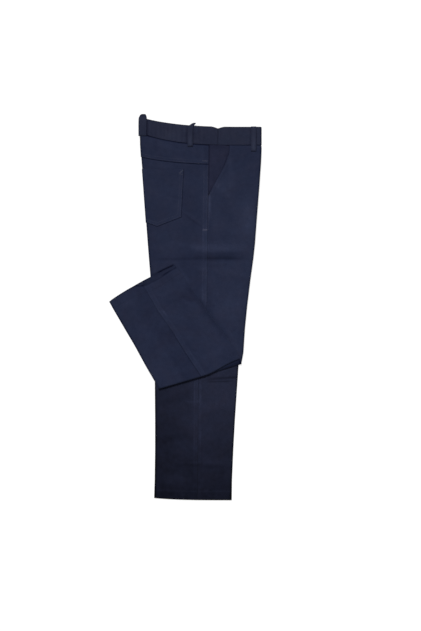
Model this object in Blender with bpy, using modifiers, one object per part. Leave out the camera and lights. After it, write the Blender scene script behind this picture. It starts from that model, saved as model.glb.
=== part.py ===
"""Elastic waist trousers, laid flat on their left side with the right leg turned up at the knee.

Sizes in this file are millimetres, and every mesh is scaled to metres as it is made. X runs across the
trousers from the centre back fold to the centre front fold, Y from the hem to the waist, and Z up from the
surface that they lie on. Each leg is a flattened tube of two pieces, front and back, which meet at the outseam
and the inseam and wrap round the folds at centre back and centre front. The left leg lies underneath, outer
side down. The right leg lies on it, outer side up, and is turned up at the knee over its own thigh.
"""
from collections import namedtuple
from math import cos, pi, radians, sin

import bmesh
import bpy
from mathutils import Vector

MM = 0.001

# Driving sizes of the cloth and of how it is laid
CLOTH = 1.2              # wall of a panel
SLACK = 0.6              # air between the two sides of a flattened leg
LAY = 0.4                # air between one leg and the next
SEAM = 0.3               # gap where two cut pieces meet
CENTRE_GAP = 0.45        # from the end of each front band to the middle of the centre front fold
BAND_CLOTH = 2.2         # wall of the waistband, which is folded double
TRIM_CLOTH = 1.0         # wall of a patch pocket, a facing or a belt loop
GATHERS = 15             # gathers in the elastic between centre back and the outseam
GATHER_DEEP = 0.7
KNEE_BEND = 5.0          # half the height of the fold at the knee
FLAP_REST = 9.0          # how far the turned-up leg overhangs before it starts to droop
FLAP_DROOP = 38.0        # and over what length it comes down to the surface
HEM_SLIP = 9.0           # how far the upper side of the turned-up hem lies back from the lower side

LEG_DEEP = 2 * CLOTH + SLACK
LEG_LOW = CLOTH / 2
LEG_HIGH = LEG_DEEP - CLOTH / 2
RIGHT_LIFT = LEG_DEEP + LAY
FLAT_PIVOT = LEG_DEEP + LAY / 2

# Steps that a panel takes across: outer side, round the fold, inner side
OUTER_STEPS = 8
FOLD_STEPS = 4
INNER_STEPS = 6

# Right thigh: where the folds and the outseam lie at each height, and how far the leg is lifted
Thigh = namedtuple("Thigh", "y back outseam front lift")
RIGHT_THIGH = (
    Thigh(470.0, -112.8, 58.5, 188.3, 3.4),
    Thigh(402.4, -111.6, 58.5, 188.3, 3.4),
    Thigh(380.0, -109.8, 58.1, 187.9, 4.8),
    Thigh(354.2, -107.2, 57.6, 186.7, 4.8),
    Thigh(299.6, -103.7, 56.6, 183.0, 4.8),
    Thigh(240.3, -99.5, 55.6, 178.6, 4.8),
    Thigh(181.1, -94.4, 55.1, 174.1, 4.8),
    Thigh(160.0, -92.7, 55.0, 172.2, 3.4),
    Thigh(121.8, -89.7, 54.8, 168.0, 3.4),
    Thigh(62.5, -84.7, 54.1, 159.8, 3.4),
    Thigh(3.2, -81.5, 53.1, 152.6, 3.4),
    Thigh(-51.1, -79.3, 51.1, 147.7, 3.4),
    Thigh(-112.0, -76.6, 48.0, 144.0, 3.4),
    Thigh(-150.0, -73.5, 46.0, 140.5, 3.4),
)

# Left leg: the folds, the outseam underneath and the inseam on top, from waist to hem
Leg = namedtuple("Leg", "y back outseam inseam front")
LEFT_LEG = (
    Leg(470.0, -112.8, 58.5, 36.0, 188.3),
    Leg(402.4, -111.3, 58.5, 37.0, 188.0),
    Leg(299.6, -102.7, 56.1, 39.0, 182.0),
    Leg(181.1, -92.9, 53.6, 40.0, 172.7),
    Leg(62.5, -83.5, 48.7, 37.0, 157.6),
    Leg(-56.1, -77.8, 42.0, 34.0, 139.8),
    Leg(-145.0, -75.6, 36.0, 32.9, 131.2),
    Leg(-189.4, -75.3, 33.0, 32.1, 128.2),
    Leg(-278.4, -74.6, 29.0, 31.6, 122.3),
    Leg(-352.5, -74.6, 25.0, 31.4, 118.3),
    Leg(-426.6, -75.6, 22.0, 30.6, 115.1),
    Leg(-474.7, -77.1, 20.0, 29.9, 114.4),
)

# Seat and crotch seams: how far each piece reaches past its fold onto the inner side of the leg
Rise = namedtuple("Rise", "y back front")
RISE = (
    Rise(470.0, 2.5, 2.5),
    Rise(402.0, 2.5, 2.5),
    Rise(371.0, 12.0, 2.5),
    Rise(341.0, 28.0, 2.5),
    Rise(302.0, 42.0, 3.5),
    Rise(265.0, 55.0, 8.0),
    Rise(228.0, 70.0, 17.0),
    Rise(201.0, 85.0, 33.0),
    Rise(181.0, 100.0, 52.0),
    Rise(166.0, 115.0, 80.0),
    Rise(151.0, 200.0, 200.0),
)

# Mouth of the slant pocket: how far in front of the outseam the front panel starts
Mouth = namedtuple("Mouth", "y wide")
MOUTH = (Mouth(470.0, 52.0), Mouth(401.0, 52.0), Mouth(366.0, 45.0), Mouth(327.0, 28.0), Mouth(299.0, 12.5),
         Mouth(272.4, 0.0))

# The crease across the thigh: height of the ridge and the trough below it, and its strength across the leg
Crease = namedtuple("Crease", "y high")
CREASE = (Crease(166.0, 0.0), Crease(151.0, 1.4), Crease(139.0, 2.6), Crease(132.0, 1.9), Crease(124.0, 0.0),
          Crease(104.0, 0.0))
Strength = namedtuple("Strength", "x share")
CREASE_STRENGTH = (Strength(-90.0, 0.25), Strength(0.0, 0.35), Strength(25.0, 1.0), Strength(140.0, 0.9),
                   Strength(170.0, 0.1))

FOLD_SHARE = 0.012       # share of a row at each end that stays straight, where the cloth goes round the fold

# Heights at which the pieces have a row of points: the leg's folds at back and front, and the bow of the row
Level = namedtuple("Level", "back front bow")
BAND_TOP = Level(467.0, 445.3, 9.0)
BAND_SEAM = Level(431.8, 400.9, 14.0)
YOKE_MIDDLE = Level(401.0, 377.0, 11.0)
YOKE_SEAM = Level(371.2, 352.7, 8.0)
SEAT_LEVELS = (Level(331.0, 323.0, 3.0), Level(299.6, 299.6, 0.0), Level(272.4, 272.4, 0.0),
               Level(228.0, 228.0, 0.0), Level(201.0, 201.0, 0.0), Level(181.0, 181.0, 0.0))
THIGH_LEVELS = (Level(166.0, 166.0, 0.0), Level(151.0, 151.0, 0.0), Level(139.0, 139.0, 0.0),
                Level(132.0, 132.0, 0.0), Level(124.0, 124.0, 0.0), Level(104.0, 104.0, 0.0),
                Level(62.5, 62.5, 0.0), Level(3.2, 3.2, 0.0), Level(-51.1, -51.1, 0.0),
                Level(-110.4, -88.2, 0.0), Level(-150.0, -112.0, 0.0))
LEFT_SEAT = (299.6, 228.0, 201.0, 181.0)
LEFT_LOWER = (166.0, 151.0, 62.5, -56.1, -145.0, -189.4, -278.4, -352.5, -426.6, -474.7)
LEFT_HEM_BOW = 3.0

# Line that the knee turns about, and how the rows of the turned-up leg lie beyond it
KNEE_BACK = (-67.2, -198.5)
KNEE_FRONT = (136.5, -132.2)
KNEE_BOW = 4.0
KNEE_TURNS = 6
Flap = namedtuple("Flap", "back front pivot bow slip outseam inseam")
FLAP = (
    Flap((-75.3, -185.7), (126.5, -111.6), 4.4, 3.0, 0.0, 0.55, 0.505),
    Flap((-99.5, -143.3), (107.9, -82.5), 3.6, 0.0, 0.0, 0.55, 0.51),
    Flap((-129.2, -90.2), (68.4, -28.9), 3.2, 0.0, 0.0, 0.54, 0.52),
    Flap((-158.8, -39.8), (21.5, 32.9), 3.2, 0.0, 0.0, 0.54, 0.515),
    Flap((-178.6, -5.7), (-11.9, 86.0), 3.2, 0.0, 0.4, 0.53, 0.505),
    Flap((-188.7, 13.6), (-24.2, 105.0), 3.2, -5.0, 1.0, 0.53, 0.5),
)
THIGH_INSEAM = 0.5

# Right patch pocket, measured along the cloth from the centre back fold, outer side positive
POCKET_TOP = 341.0
POCKET_CORNER = 222.3
POCKET_POINT = 199.1
POCKET_POINT_IN = 26.0
POCKET_SIDE_TOP = 102.5
POCKET_SIDE_LOW = 87.5
POCKET_ROUND_TOP = 16.0
POCKET_ROUND_LOW = 30.0
POCKET_LIFT = 4.8

ELASTIC_END = 82.0       # x where the gathered back of the band joins the plain front
FACING_UNDER = 6.0       # how far the facing runs on under the front panel

Row = namedtuple("Row", "back front outseam inseam rise_back rise_front mouth bow lift turn pivot slip")


def read(table, column, at):
    """Straight-line reading of one column of a table, whose first column falls from row to row."""
    if at >= table[0][0]:
        return getattr(table[0], column)
    for upper, lower in zip(table, table[1:]):
        if at >= lower[0]:
            share = (upper[0] - at) / (upper[0] - lower[0])
            return getattr(upper, column) * (1 - share) + getattr(lower, column) * share
    return getattr(table[-1], column)


def smooth(value):
    """Soft step from 0 to 1."""
    value = min(max(value, 0.0), 1.0)
    return value * value * (3 - 2 * value)


def steps(start, stop, count):
    """Evenly spaced values from start to stop, both included."""
    return [start + (stop - start) * step / count for step in range(count + 1)]


def crease(x, y):
    """Height of the soft crease across the thigh."""
    strength = -read([Strength(-row.x, row.share) for row in CREASE_STRENGTH], "share", -x)
    return -strength * read(CREASE, "high", y)


def thigh_row(level):
    """A row across the right thigh at a level of it."""
    back = Vector((read(RIGHT_THIGH, "back", level.back), level.back))
    front = Vector((read(RIGHT_THIGH, "front", level.front), level.front))
    outseam = (read(RIGHT_THIGH, "outseam", level.front) - back.x) / (front.x - back.x)
    return Row(back, front, outseam, THIGH_INSEAM, read(RISE, "back", level.back),
               read(RISE, "front", level.front), read(MOUTH, "wide", level.front), level.bow,
               read(RIGHT_THIGH, "lift", level.front), 0.0, 0.0, 0.0)


def left_row(level):
    """A row across the left leg, which lies flat on the surface."""
    back = Vector((read(LEFT_LEG, "back", level.back), level.back))
    front = Vector((read(LEFT_LEG, "front", level.front), level.front))
    wide = front.x - back.x
    outseam = (read(LEFT_LEG, "outseam", level.front) - back.x) / wide
    inseam = (read(LEFT_LEG, "inseam", level.front) - back.x) / wide
    return Row(back, front, outseam, inseam, read(RISE, "back", level.back), read(RISE, "front", level.front),
               0.0, level.bow, 0.0, 0.0, 0.0, 0.0)


def knee_rows():
    """Rows round the fold at the knee, then along the turned-up leg to its hem."""
    whole = 1000.0
    rows = []
    for turn in range(KNEE_TURNS + 1):
        rows.append(Row(Vector(KNEE_BACK), Vector(KNEE_FRONT), 0.56, 0.5, whole, whole, 0.0, KNEE_BOW,
                        RIGHT_LIFT, 180.0 * turn / KNEE_TURNS, KNEE_BEND, 0.0))
    for flap in FLAP:
        rows.append(Row(Vector(flap.back), Vector(flap.front), flap.outseam, flap.inseam, whole, whole, 0.0,
                        flap.bow, RIGHT_LIFT, 180.0, flap.pivot, HEM_SLIP * flap.slip))
    return rows


def droop(x, y):
    """How far the turned-up leg has come down where it hangs past the back folds of both legs."""
    edge = min(read(RIGHT_THIGH, "back", y), read(LEFT_LEG, "back", y))
    full = RIGHT_LIFT + 2 * FLAT_PIVOT - LEG_DEEP
    return full * smooth((edge - x - FLAP_REST) / FLAP_DROOP)


def place(row, s, h):
    """Point s in from the back fold along a row and h up through the leg, turned with the row."""
    across = row.front - row.back
    share = s / across.length
    down_leg = Vector((across.y, -across.x)) / across.length
    hump = sin(pi * min(max((share - FOLD_SHARE) / (1 - 2 * FOLD_SHARE), 0.0), 1.0) ** 0.75)
    spin = radians(row.turn)
    inner = min(max((LEG_HIGH - h) / (LEG_HIGH - LEG_LOW), 0.0), 1.0)
    shift = row.bow * hump + row.slip * inner * sin(pi * min(max(share, 0.0), 1.0))
    spot = row.back + across * share + down_leg * (shift + (row.pivot - h) * sin(spin))
    z = row.lift + row.pivot - (row.pivot - h) * cos(spin)
    if row.turn > 0.0:
        z -= droop(spot.x, spot.y)
    elif row.lift > 0.0:
        z += crease(spot.x, spot.y) * (1 - inner)
    return Vector((spot.x, spot.y, z))


def round_fold(fold, inward, first, last, arc_end=pi):
    """Section points round a fold from level first to level last; inward is the sign of s away from it."""
    radius = abs(first - last) / 2
    middle = (first + last) / 2
    points = []
    for angle in steps(0.0, arc_end, FOLD_STEPS):
        points.append((fold + inward * radius * (1 - sin(angle)), middle + (first - last) / 2 * cos(angle)))
    return points


def panel_section(row, half, first, last):
    """Section of a front or back piece: from the outseam, round its fold, to the inseam or the rise seam."""
    wide = (row.front - row.back).length
    radius = abs(first - last) / 2
    if half == "back":
        start = row.outseam * wide - SEAM / 2
        turn_in = radius
        end = min(radius + row.rise_back, row.inseam * wide - SEAM / 2)
        fold, inward = 0.0, 1.0
    else:
        start = row.outseam * wide + max(row.mouth, SEAM / 2)
        turn_in = wide - radius
        end = max(wide - radius - row.rise_front, row.inseam * wide + SEAM / 2)
        fold, inward = wide, -1.0
    outer = [(s, first) for s in steps(start, turn_in, OUTER_STEPS)]
    inner = [(s, last) for s in steps(turn_in, end, INNER_STEPS)]
    return outer[:-1] + round_fold(fold, inward, first, last) + inner[1:]


def cloth(name, rows, thickness, material):
    """A cut piece: a grid laid through rows of points and thickened both ways."""
    across = len(rows[0])
    shape = bmesh.new()
    bmesh.ops.create_grid(shape, x_segments=across - 1, y_segments=len(rows) - 1, size=1.0)
    shape.verts.ensure_lookup_table()
    for index, vert in enumerate(shape.verts):
        vert.co = rows[index // across][index % across] * MM
    mesh = bpy.data.meshes.new(name)
    shape.to_mesh(mesh)
    shape.free()
    piece = bpy.data.objects.new(name, mesh)
    trousers.objects.link(piece)
    mesh.materials.append(material)
    mesh.shade_smooth()
    wall = piece.modifiers.new("Cloth wall", "SOLIDIFY")
    wall.thickness = thickness * MM
    wall.offset = 0.0
    wall.use_even_offset = True
    return piece


def panel(name, rows, half, first, last):
    """A front or back piece of a leg through its rows."""
    return cloth(name, [[place(row, s, h) for s, h in panel_section(row, half, first, last)] for row in rows],
                 CLOTH, twill)


def lowered(level, by):
    """The same level, moved down the leg."""
    return Level(level.back - by, level.front - by, level.bow)


def legs():
    """Fronts, backs and yokes of both legs."""
    knee = knee_rows()
    seat = [thigh_row(level) for level in SEAT_LEVELS + THIGH_LEVELS]
    below_band = thigh_row(lowered(BAND_SEAM, SEAM))
    yoke_middle = thigh_row(YOKE_MIDDLE)
    panel("right_yoke", [below_band, yoke_middle, thigh_row(YOKE_SEAM)], "back", LEG_HIGH, LEG_LOW)
    panel("right_back_panel", [thigh_row(lowered(YOKE_SEAM, SEAM))] + seat + knee, "back", LEG_HIGH, LEG_LOW)
    panel("right_front_panel", [below_band, yoke_middle, thigh_row(YOKE_SEAM)] + seat + knee, "front",
          LEG_HIGH, LEG_LOW)

    lower = [Level(y, y, LEFT_HEM_BOW if y == LEFT_LOWER[-1] else 0.0) for y in LEFT_LOWER]
    left = [left_row(level) for level in [Level(y, y, 0.0) for y in LEFT_SEAT] + lower]
    left_top = left_row(lowered(BAND_SEAM, SEAM))
    left_middle = left_row(YOKE_MIDDLE)
    panel("left_yoke", [left_top, left_middle, left_row(YOKE_SEAM)], "back", LEG_LOW, LEG_HIGH)
    panel("left_back_panel", [left_row(lowered(YOKE_SEAM, SEAM))] + left, "back", LEG_LOW, LEG_HIGH)
    panel("left_front_panel", [left_top, left_middle, left_row(YOKE_SEAM)] + left, "front", LEG_LOW, LEG_HIGH)


def band_rows():
    """Rows up the waistband, from its seam to its top edge."""
    rows = []
    for share in steps(0.0, 1.0, 3):
        level = Level(*(low + (high - low) * share for low, high in zip(BAND_SEAM, BAND_TOP)))
        row = thigh_row(level)
        rows.append(row._replace(lift=0.0))
    return rows


def waistband():
    """The gathered back of the band, in one piece round centre back, and its two plain fronts."""
    top = RIGHT_LIFT + LEG_DEEP + LAY - BAND_CLOTH / 2
    bottom = BAND_CLOTH / 2
    radius = (top - bottom) / 2
    gathered, right_front, left_front = [], [], []
    for share, row in zip(steps(0.0, 1.0, 3), band_rows()):
        wide = (row.front - row.back).length
        join = ELASTIC_END - row.back.x
        first, last = 0.15 * join, 0.87 * join
        under = [(s, bottom) for s in steps(radius, join, OUTER_STEPS)]
        over = [(join, top)]
        for step in range(4 * GATHERS + 1):
            place_in = step / (4 * GATHERS)
            uneven = place_in + 0.02 * sin(11 * place_in)
            dip = GATHER_DEEP * (0.6 + 0.4 * sin(pi * share)) * sin(pi * GATHERS * uneven) ** 2
            over.append((last + (first - last) * place_in, top - dip * smooth(min(place_in, 1 - place_in) * 8)))
        section = over + round_fold(0.0, 1.0, top, bottom) + under[1:]
        gathered.append([place(row, s, h) for s, h in section])
        plain = [(s, top) for s in steps(join + SEAM, wide - radius, 4)]
        half_turn = round_fold(wide, -1.0, top, bottom, pi / 2 - CENTRE_GAP / radius)
        right_front.append([place(row, s, h) for s, h in plain[:-1] + half_turn])
        left_front.append([Vector((*place(row, s, h).xy, top + bottom - h)) for s, h in plain[:-1] + half_turn])
    cloth("waistband_back", gathered, BAND_CLOTH, twill)
    cloth("waistband_front_right", right_front, BAND_CLOTH, twill)
    cloth("waistband_front_left", left_front, BAND_CLOTH, twill)


def slant_pocket():
    """Facing seen in the mouth of the slant pocket; it dips so that the front panel lies over its edge."""
    dip = CLOTH + SEAM
    rows = []
    for level in (lowered(BAND_SEAM, SEAM), YOKE_MIDDLE, YOKE_SEAM, Level(331.0, 323.0, 3.0),
                  Level(299.6, 299.6, 0.0), Level(281.0, 281.0, 0.0)):
        row = thigh_row(level)
        seam_at = row.outseam * (row.front - row.back).length
        section = [(seam_at + SEAM / 2, LEG_HIGH)]
        for s in steps(0.4 * row.mouth, row.mouth - SEAM, 3):
            section.append((seam_at + s, LEG_HIGH - dip * smooth(s / (row.mouth - SEAM))))
        section.append((seam_at + row.mouth + FACING_UNDER, LEG_HIGH - dip))
        rows.append([place(row, s, h) for s, h in section])
    cloth("right_pocket_facing", rows, TRIM_CLOTH, twill)


def patch_pocket():
    """Back patch pocket: it lies on the back panel, wraps round the centre back fold and ends in a point."""
    stand_off = SEAM + TRIM_CLOTH / 2
    outer = POCKET_LIFT + LEG_DEEP + stand_off
    inner = POCKET_LIFT - stand_off
    fold = -(stand_off + CLOTH / 2)
    turn_in = fold + (outer - inner) / 2
    half_wide = POCKET_SIDE_LOW - POCKET_POINT_IN
    rows = []
    for down in steps(0.0, 1.0, 4):
        side = POCKET_SIDE_TOP + (POCKET_SIDE_LOW - POCKET_SIDE_TOP) * down
        point_in = POCKET_POINT_IN + (POCKET_SIDE_TOP - POCKET_SIDE_LOW) * (1 - down)
        end = POCKET_ROUND_TOP + (POCKET_ROUND_LOW - POCKET_ROUND_TOP) * down
        section = [(s, outer, s) for s in steps(side, point_in, 3) + steps(point_in, turn_in, 2)[1:-1]]
        section += [(s, h, s) for s, h in round_fold(fold, 1.0, outer, inner)]
        section += [(s, inner, -s) for s in steps(turn_in, end, 2)[1:]]
        row = []
        for s, z, along in section:
            low = POCKET_POINT + (POCKET_CORNER - POCKET_POINT) * min(abs(along - point_in) / half_wide, 1.0)
            y = POCKET_TOP + (low - POCKET_TOP) * down
            row.append(Vector((read(RIGHT_THIGH, "back", y) + s, y, z)))
        rows.append(row)
    cloth("right_patch_pocket", rows, TRIM_CLOTH, twill)


# Belt loops, from the end sewn below the band to the top: height y, level z, and the two sides of the strip
Strip = namedtuple("Strip", "y z left right drop")
CENTRE_BACK_LOOP = (
    Strip(419.0, 7.8, -115.5, -95.0, 2.8),
    Strip(432.0, 8.2, -115.6, -95.0, 2.8),
    Strip(449.0, 8.2, -115.7, -94.6, 2.8),
    Strip(464.0, 7.9, -115.5, -94.2, 2.4),
    Strip(472.0, 7.3, -114.8, -94.2, 1.4),
    Strip(476.6, 5.8, -110.0, -96.5, 0.4),
    Strip(475.0, 4.0, -107.0, -97.0, 0.0),
    Strip(463.0, 3.4, -105.5, -97.5, 0.0),
)
SIDE_BACK_LOOP = (
    Strip(396.9, 8.4, 5.6, 18.4, 0.0),
    Strip(404.0, 9.0, 5.5, 18.5, 0.0),
    Strip(424.0, 9.0, 5.5, 18.5, 0.0),
    Strip(440.0, 8.4, 5.6, 18.6, 0.0),
    Strip(451.5, 7.7, 6.4, 19.2, 0.0),
)
FRONT_LOOP = (
    Strip(385.1, 8.2, 162.2, 175.0, 0.0),
    Strip(394.0, 8.8, 162.2, 175.2, 0.0),
    Strip(418.0, 8.8, 162.3, 175.3, 0.0),
    Strip(434.0, 8.2, 162.4, 175.4, 0.0),
    Strip(445.0, 7.6, 162.4, 175.4, 0.0),
)


def belt_loop(name, strips):
    """A folded strip sewn on below the band and at its top edge, standing a little off the band between."""
    rows = []
    for strip in strips:
        wide = strip.right - strip.left
        rows.append([Vector((strip.left, strip.y, strip.z - strip.drop)),
                     Vector((strip.left + wide * 0.08, strip.y, strip.z - strip.drop * 0.1)),
                     Vector((strip.left + wide * 0.55, strip.y, strip.z)),
                     Vector((strip.right, strip.y, strip.z))])
    cloth(name, rows, TRIM_CLOTH, twill)


def cloth_material():
    """Dark navy cotton twill."""
    material = bpy.data.materials.new("navy_twill")
    material.use_nodes = True
    shader = material.node_tree.nodes["Principled BSDF"]
    shader.inputs["Base Color"].default_value = (0.019, 0.025, 0.051, 1.0)
    shader.inputs["Roughness"].default_value = 0.85
    shader.inputs["Metallic"].default_value = 0.0
    return material


for old in list(bpy.data.objects):
    bpy.data.objects.remove(old, do_unlink=True)

trousers = bpy.data.collections.new("elastic_waist_trousers")
bpy.context.scene.collection.children.link(trousers)
twill = cloth_material()

legs()
waistband()
slant_pocket()
patch_pocket()
belt_loop("belt_loop_centre_back", CENTRE_BACK_LOOP)
belt_loop("belt_loop_side_back", SIDE_BACK_LOOP)
belt_loop("belt_loop_front", FRONT_LOOP)
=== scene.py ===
from collections import namedtuple
from math import ceil, cos, pi, radians, sin

import bpy
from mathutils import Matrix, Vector, noise
from mathutils.bvhtree import BVHTree


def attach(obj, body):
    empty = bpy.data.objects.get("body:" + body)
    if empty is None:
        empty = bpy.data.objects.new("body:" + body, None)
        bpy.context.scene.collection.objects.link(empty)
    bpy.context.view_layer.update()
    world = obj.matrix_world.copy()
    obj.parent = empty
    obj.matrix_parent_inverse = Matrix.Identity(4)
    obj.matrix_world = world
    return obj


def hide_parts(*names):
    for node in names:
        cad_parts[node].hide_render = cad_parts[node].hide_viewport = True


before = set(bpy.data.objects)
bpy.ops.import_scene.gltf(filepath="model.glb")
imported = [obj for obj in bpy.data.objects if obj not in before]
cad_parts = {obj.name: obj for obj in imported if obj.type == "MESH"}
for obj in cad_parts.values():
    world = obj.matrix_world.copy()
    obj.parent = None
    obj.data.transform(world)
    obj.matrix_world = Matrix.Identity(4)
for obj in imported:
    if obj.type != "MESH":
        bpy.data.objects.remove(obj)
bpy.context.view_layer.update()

# Studio: a lit white table, one soft key light from beyond the waist, a little to the left, and an even fill,
# seen from straight above. The key stands low enough to draw each lapped edge and fold with a thin shadow.
VIEW_HIGH = 1.5586       # metres seen from top to bottom of the picture
VIEW_LEVEL = 0.005       # height above the table at which that holds
CAMERA_X = 0.0622
CAMERA_Y = -0.0202
LENS = 50.0
SENSOR = 36.0
TABLE_WIDE = 8.0
TABLE_DROP = 0.0003      # keeps the top of the table clear of the cloth
TABLE_GREY = 0.2
TABLE_GLOW = 0.76
KEY_HIGH = radians(53.0)
KEY_LEFT = radians(20.0)
KEY_STRENGTH = 4.2
KEY_SPREAD = radians(19.0)
FILL_STRENGTH = 0.48
WHITE = (1.0, 1.0, 1.0, 1.0)
camera_data = bpy.data.cameras.new("camera")
camera_data.lens = LENS
camera_data.sensor_width = SENSOR
camera = bpy.data.objects.new("camera", camera_data)
camera.location = (CAMERA_X, CAMERA_Y, VIEW_HIGH * LENS / SENSOR + VIEW_LEVEL)
bpy.context.scene.collection.objects.link(camera)
bpy.context.scene.camera = camera

bpy.ops.mesh.primitive_plane_add(size=TABLE_WIDE, location=(0.0, 0.0, -TABLE_DROP))
floor = bpy.context.object
floor.name = "floor"
paper = bpy.data.materials.new("white_table")
paper.use_nodes = True
paper_shader = paper.node_tree.nodes["Principled BSDF"]
paper_shader.inputs["Base Color"].default_value = (TABLE_GREY, TABLE_GREY, TABLE_GREY, 1.0)
paper_shader.inputs["Roughness"].default_value = 0.9
paper_shader.inputs["Specular IOR Level"].default_value = 0.1
paper_shader.inputs["Emission Color"].default_value = WHITE
paper_shader.inputs["Emission Strength"].default_value = TABLE_GLOW
floor.data.materials.append(paper)

key_data = bpy.data.lights.new("key_light", "SUN")
key_data.energy = KEY_STRENGTH
key_data.angle = KEY_SPREAD
key_light = bpy.data.objects.new("key_light", key_data)
key_from = Vector((-sin(KEY_LEFT) * cos(KEY_HIGH), cos(KEY_LEFT) * cos(KEY_HIGH), sin(KEY_HIGH)))
key_light.rotation_euler = (-key_from).to_track_quat("-Z", "Y").to_euler()
bpy.context.scene.collection.objects.link(key_light)
world = bpy.data.worlds.new("studio_fill")
world.use_nodes = True
world.node_tree.nodes["Background"].inputs["Color"].default_value = WHITE
world.node_tree.nodes["Background"].inputs["Strength"].default_value = FILL_STRENGTH
bpy.context.scene.world = world
bpy.context.scene.view_settings.view_transform = "Standard"

# Left leg: front, back and half of the yoke, of navy twill, seamed at outseam and inseam and pressed flat on
# its two folds. It lies underneath, outer side down, and shows its inner side below the knee. Sizes are
# millimetres, and a row is a line across the leg from the centre back fold to the centre front fold.
MM = 0.001
FAR = 999.0              # farther than any point of the trousers
TWILL = 0.6              # the cloth itself
LEG_DEEP = 3.0           # a flattened leg
LAY = 0.4                # air between one leg and the next
SEAM = 0.3               # gap between two pieces along the seam that joins them
PLY = 0.7                # from one ply of a turned edge to the next
HEM_DEEP = 22.0
# Rows from above the top of a turned-up hem down to its edge, and those of the ply turned up inside
HEM_ROWS = (4.5, 2.5, 1.2, 0.2, -0.8, -1.8, -4.0, -7.5, -11.5, -15.5, -19.0, -20.5, -21.2)
TURNED_HEM_ROWS = (1.5, 5.0, 10.0, 15.0, HEM_DEEP)
BAND_HIDES = 3.0         # how far each piece runs up inside the waistband
FOLD_SHARE = 0.012       # share of a row's width taken by the round of each fold
FOLD_STEPS = 8
ROW_STEP = 3.0
HIDDEN_STEP = 8.0
SEAM_COLUMNS = (0.8, 1.8, 3.2, 6.0, 9.0, 11.2, 12.2, 13.2, 14.6, 17.0)
TURNED_UNDER = 4.0       # seam allowance that is modelled under a seam
NARROW = 60.0            # one side of a piece narrower than this has smaller turns
SUNK_SHADED = 0.9        # a piece sunk this deep carries the seam's full painted shade
UNDER_SHADED = 0.4       # and so is a ply turned under by this much
TROUGH_SHADE = 0.1       # painted shade in troughs, and ridges painted that much paler
SEAM_SHADE = 0.42        # painted shade in a seam's ditch and on turned edges
# Painted shade along the legs' folds and along the soft front fold of the turned-up part, and how far in each
# reaches
EDGE_SHADE = 0.3
EDGE_REACH = 4.0
SOFT_SHADE = 0.12
SOFT_REACH = 13.0

# A row runs from its back fold to its front fold. The seams' places are shares of its width, the rise is how
# far each piece reaches past its fold, and the mouth is the slant pocket's. The row bows down the leg, is
# lifted off the table, and at the knee turns about its pivot. There its inner ply slips and its front end
# kicks back. Proud is how far it stands off the leg's own surface, and hem its distance from the hem's edge.
Row = namedtuple("Row", "back front outseam inseam rise_back rise_front mouth bow lift turn pivot slip kick "
                 "proud hem", defaults=8 * (0.0,) + (FAR,))
# A leg's two sides: the heights of their cloth, which way is out, their relief, and how many columns each has
Side = namedtuple("Side", "outer inner sign relief outer_columns inner_columns")
Cut = namedtuple("Cut", "wide long area", defaults=(None,))
Level = namedtuple("Level", "back front bow")
Leg = namedtuple("Leg", "y back outseam inseam front")
LEFT_LEG = (
    Leg(470.0, -112.8, 58.5, 36.0, 188.3),
    Leg(402.4, -111.3, 58.5, 37.0, 188.0),
    Leg(299.6, -102.7, 56.1, 39.0, 182.0),
    Leg(181.1, -92.9, 53.6, 40.0, 172.7),
    Leg(62.5, -83.5, 48.7, 37.0, 157.6),
    Leg(-56.1, -77.8, 42.0, 34.0, 139.8),
    Leg(-145.0, -75.6, 36.0, 32.9, 131.2),
    Leg(-189.4, -75.3, 33.0, 32.1, 128.2),
    Leg(-278.4, -74.6, 29.0, 31.6, 122.3),
    Leg(-352.5, -74.6, 25.0, 31.4, 118.3),
    Leg(-426.6, -75.6, 22.0, 30.6, 115.1),
    Leg(-474.7, -77.1, 20.0, 29.9, 114.4),
)
# Seat and crotch seams: how far each piece reaches past its fold onto the inner side.
Rise = namedtuple("Rise", "y back front")
RISE = (Rise(470.0, 2.5, 2.5), Rise(402.0, 2.5, 2.5), Rise(371.0, 12.0, 2.5), Rise(341.0, 28.0, 2.5),
        Rise(302.0, 42.0, 3.5), Rise(265.0, 55.0, 8.0), Rise(228.0, 70.0, 17.0), Rise(201.0, 85.0, 33.0),
        Rise(181.0, 100.0, 52.0), Rise(166.0, 115.0, 80.0), Rise(151.0, 200.0, 200.0))
BAND_TOP = Level(470.0, 445.3, 10.5)
BAND_SEAM = Level(431.8, 400.9, 14.0)
YOKE_MIDDLE = Level(401.0, 377.0, 11.0)
YOKE_SEAM = Level(371.2, 352.7, 8.0)
# The line that the right leg turns about at the knee. It hides the left leg above it.
KNEE_BACK = (-67.2, -198.2)
KNEE_FRONT = (138.3, -137.8)
KNEE_BEND = 4.1


def read(table, column, at):
    """Straight-line reading of a column of a table, whose first column falls from row to row."""
    if at >= table[0][0]:
        return getattr(table[0], column)
    for upper, lower in zip(table, table[1:]):
        if at >= lower[0]:
            share = (upper[0] - at) / (upper[0] - lower[0])
            return getattr(upper, column) * (1 - share) + getattr(lower, column) * share
    return getattr(table[-1], column)


def smooth(value):
    """Soft step from 0 to 1."""
    value = min(max(value, 0.0), 1.0)
    return value * value * (3 - 2 * value)


def steps(start, stop, count):
    """Evenly spaced values from start to stop, both included."""
    return [start + (stop - start) * step / count for step in range(count + 1)]


def part_way(one, two, share):
    """The value a share of the way from one to two."""
    return one + (two - one) * share


def peak(off, reach):
    """From 1 in the middle of a narrow mark down to 0 at its reach on both sides."""
    return max(0.0, 1 - abs(off) / reach)


def rolled(radius, start, stop, count):
    """Steps round a turned edge: how far back from its edge, and how far down through it."""
    return [(radius * (1 - sin(angle)), radius * (1 - cos(angle))) for angle in steps(start, stop, count)]


def straight(y):
    """A level straight across the leg."""
    return Level(y, y, 0.0)


def lowered(level, by):
    """The same level, moved down the leg."""
    return Level(level.back - by, level.front - by, level.bow)


def wide_of(row):
    """Width of a leg along a row."""
    return (row.front - row.back).length


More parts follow.
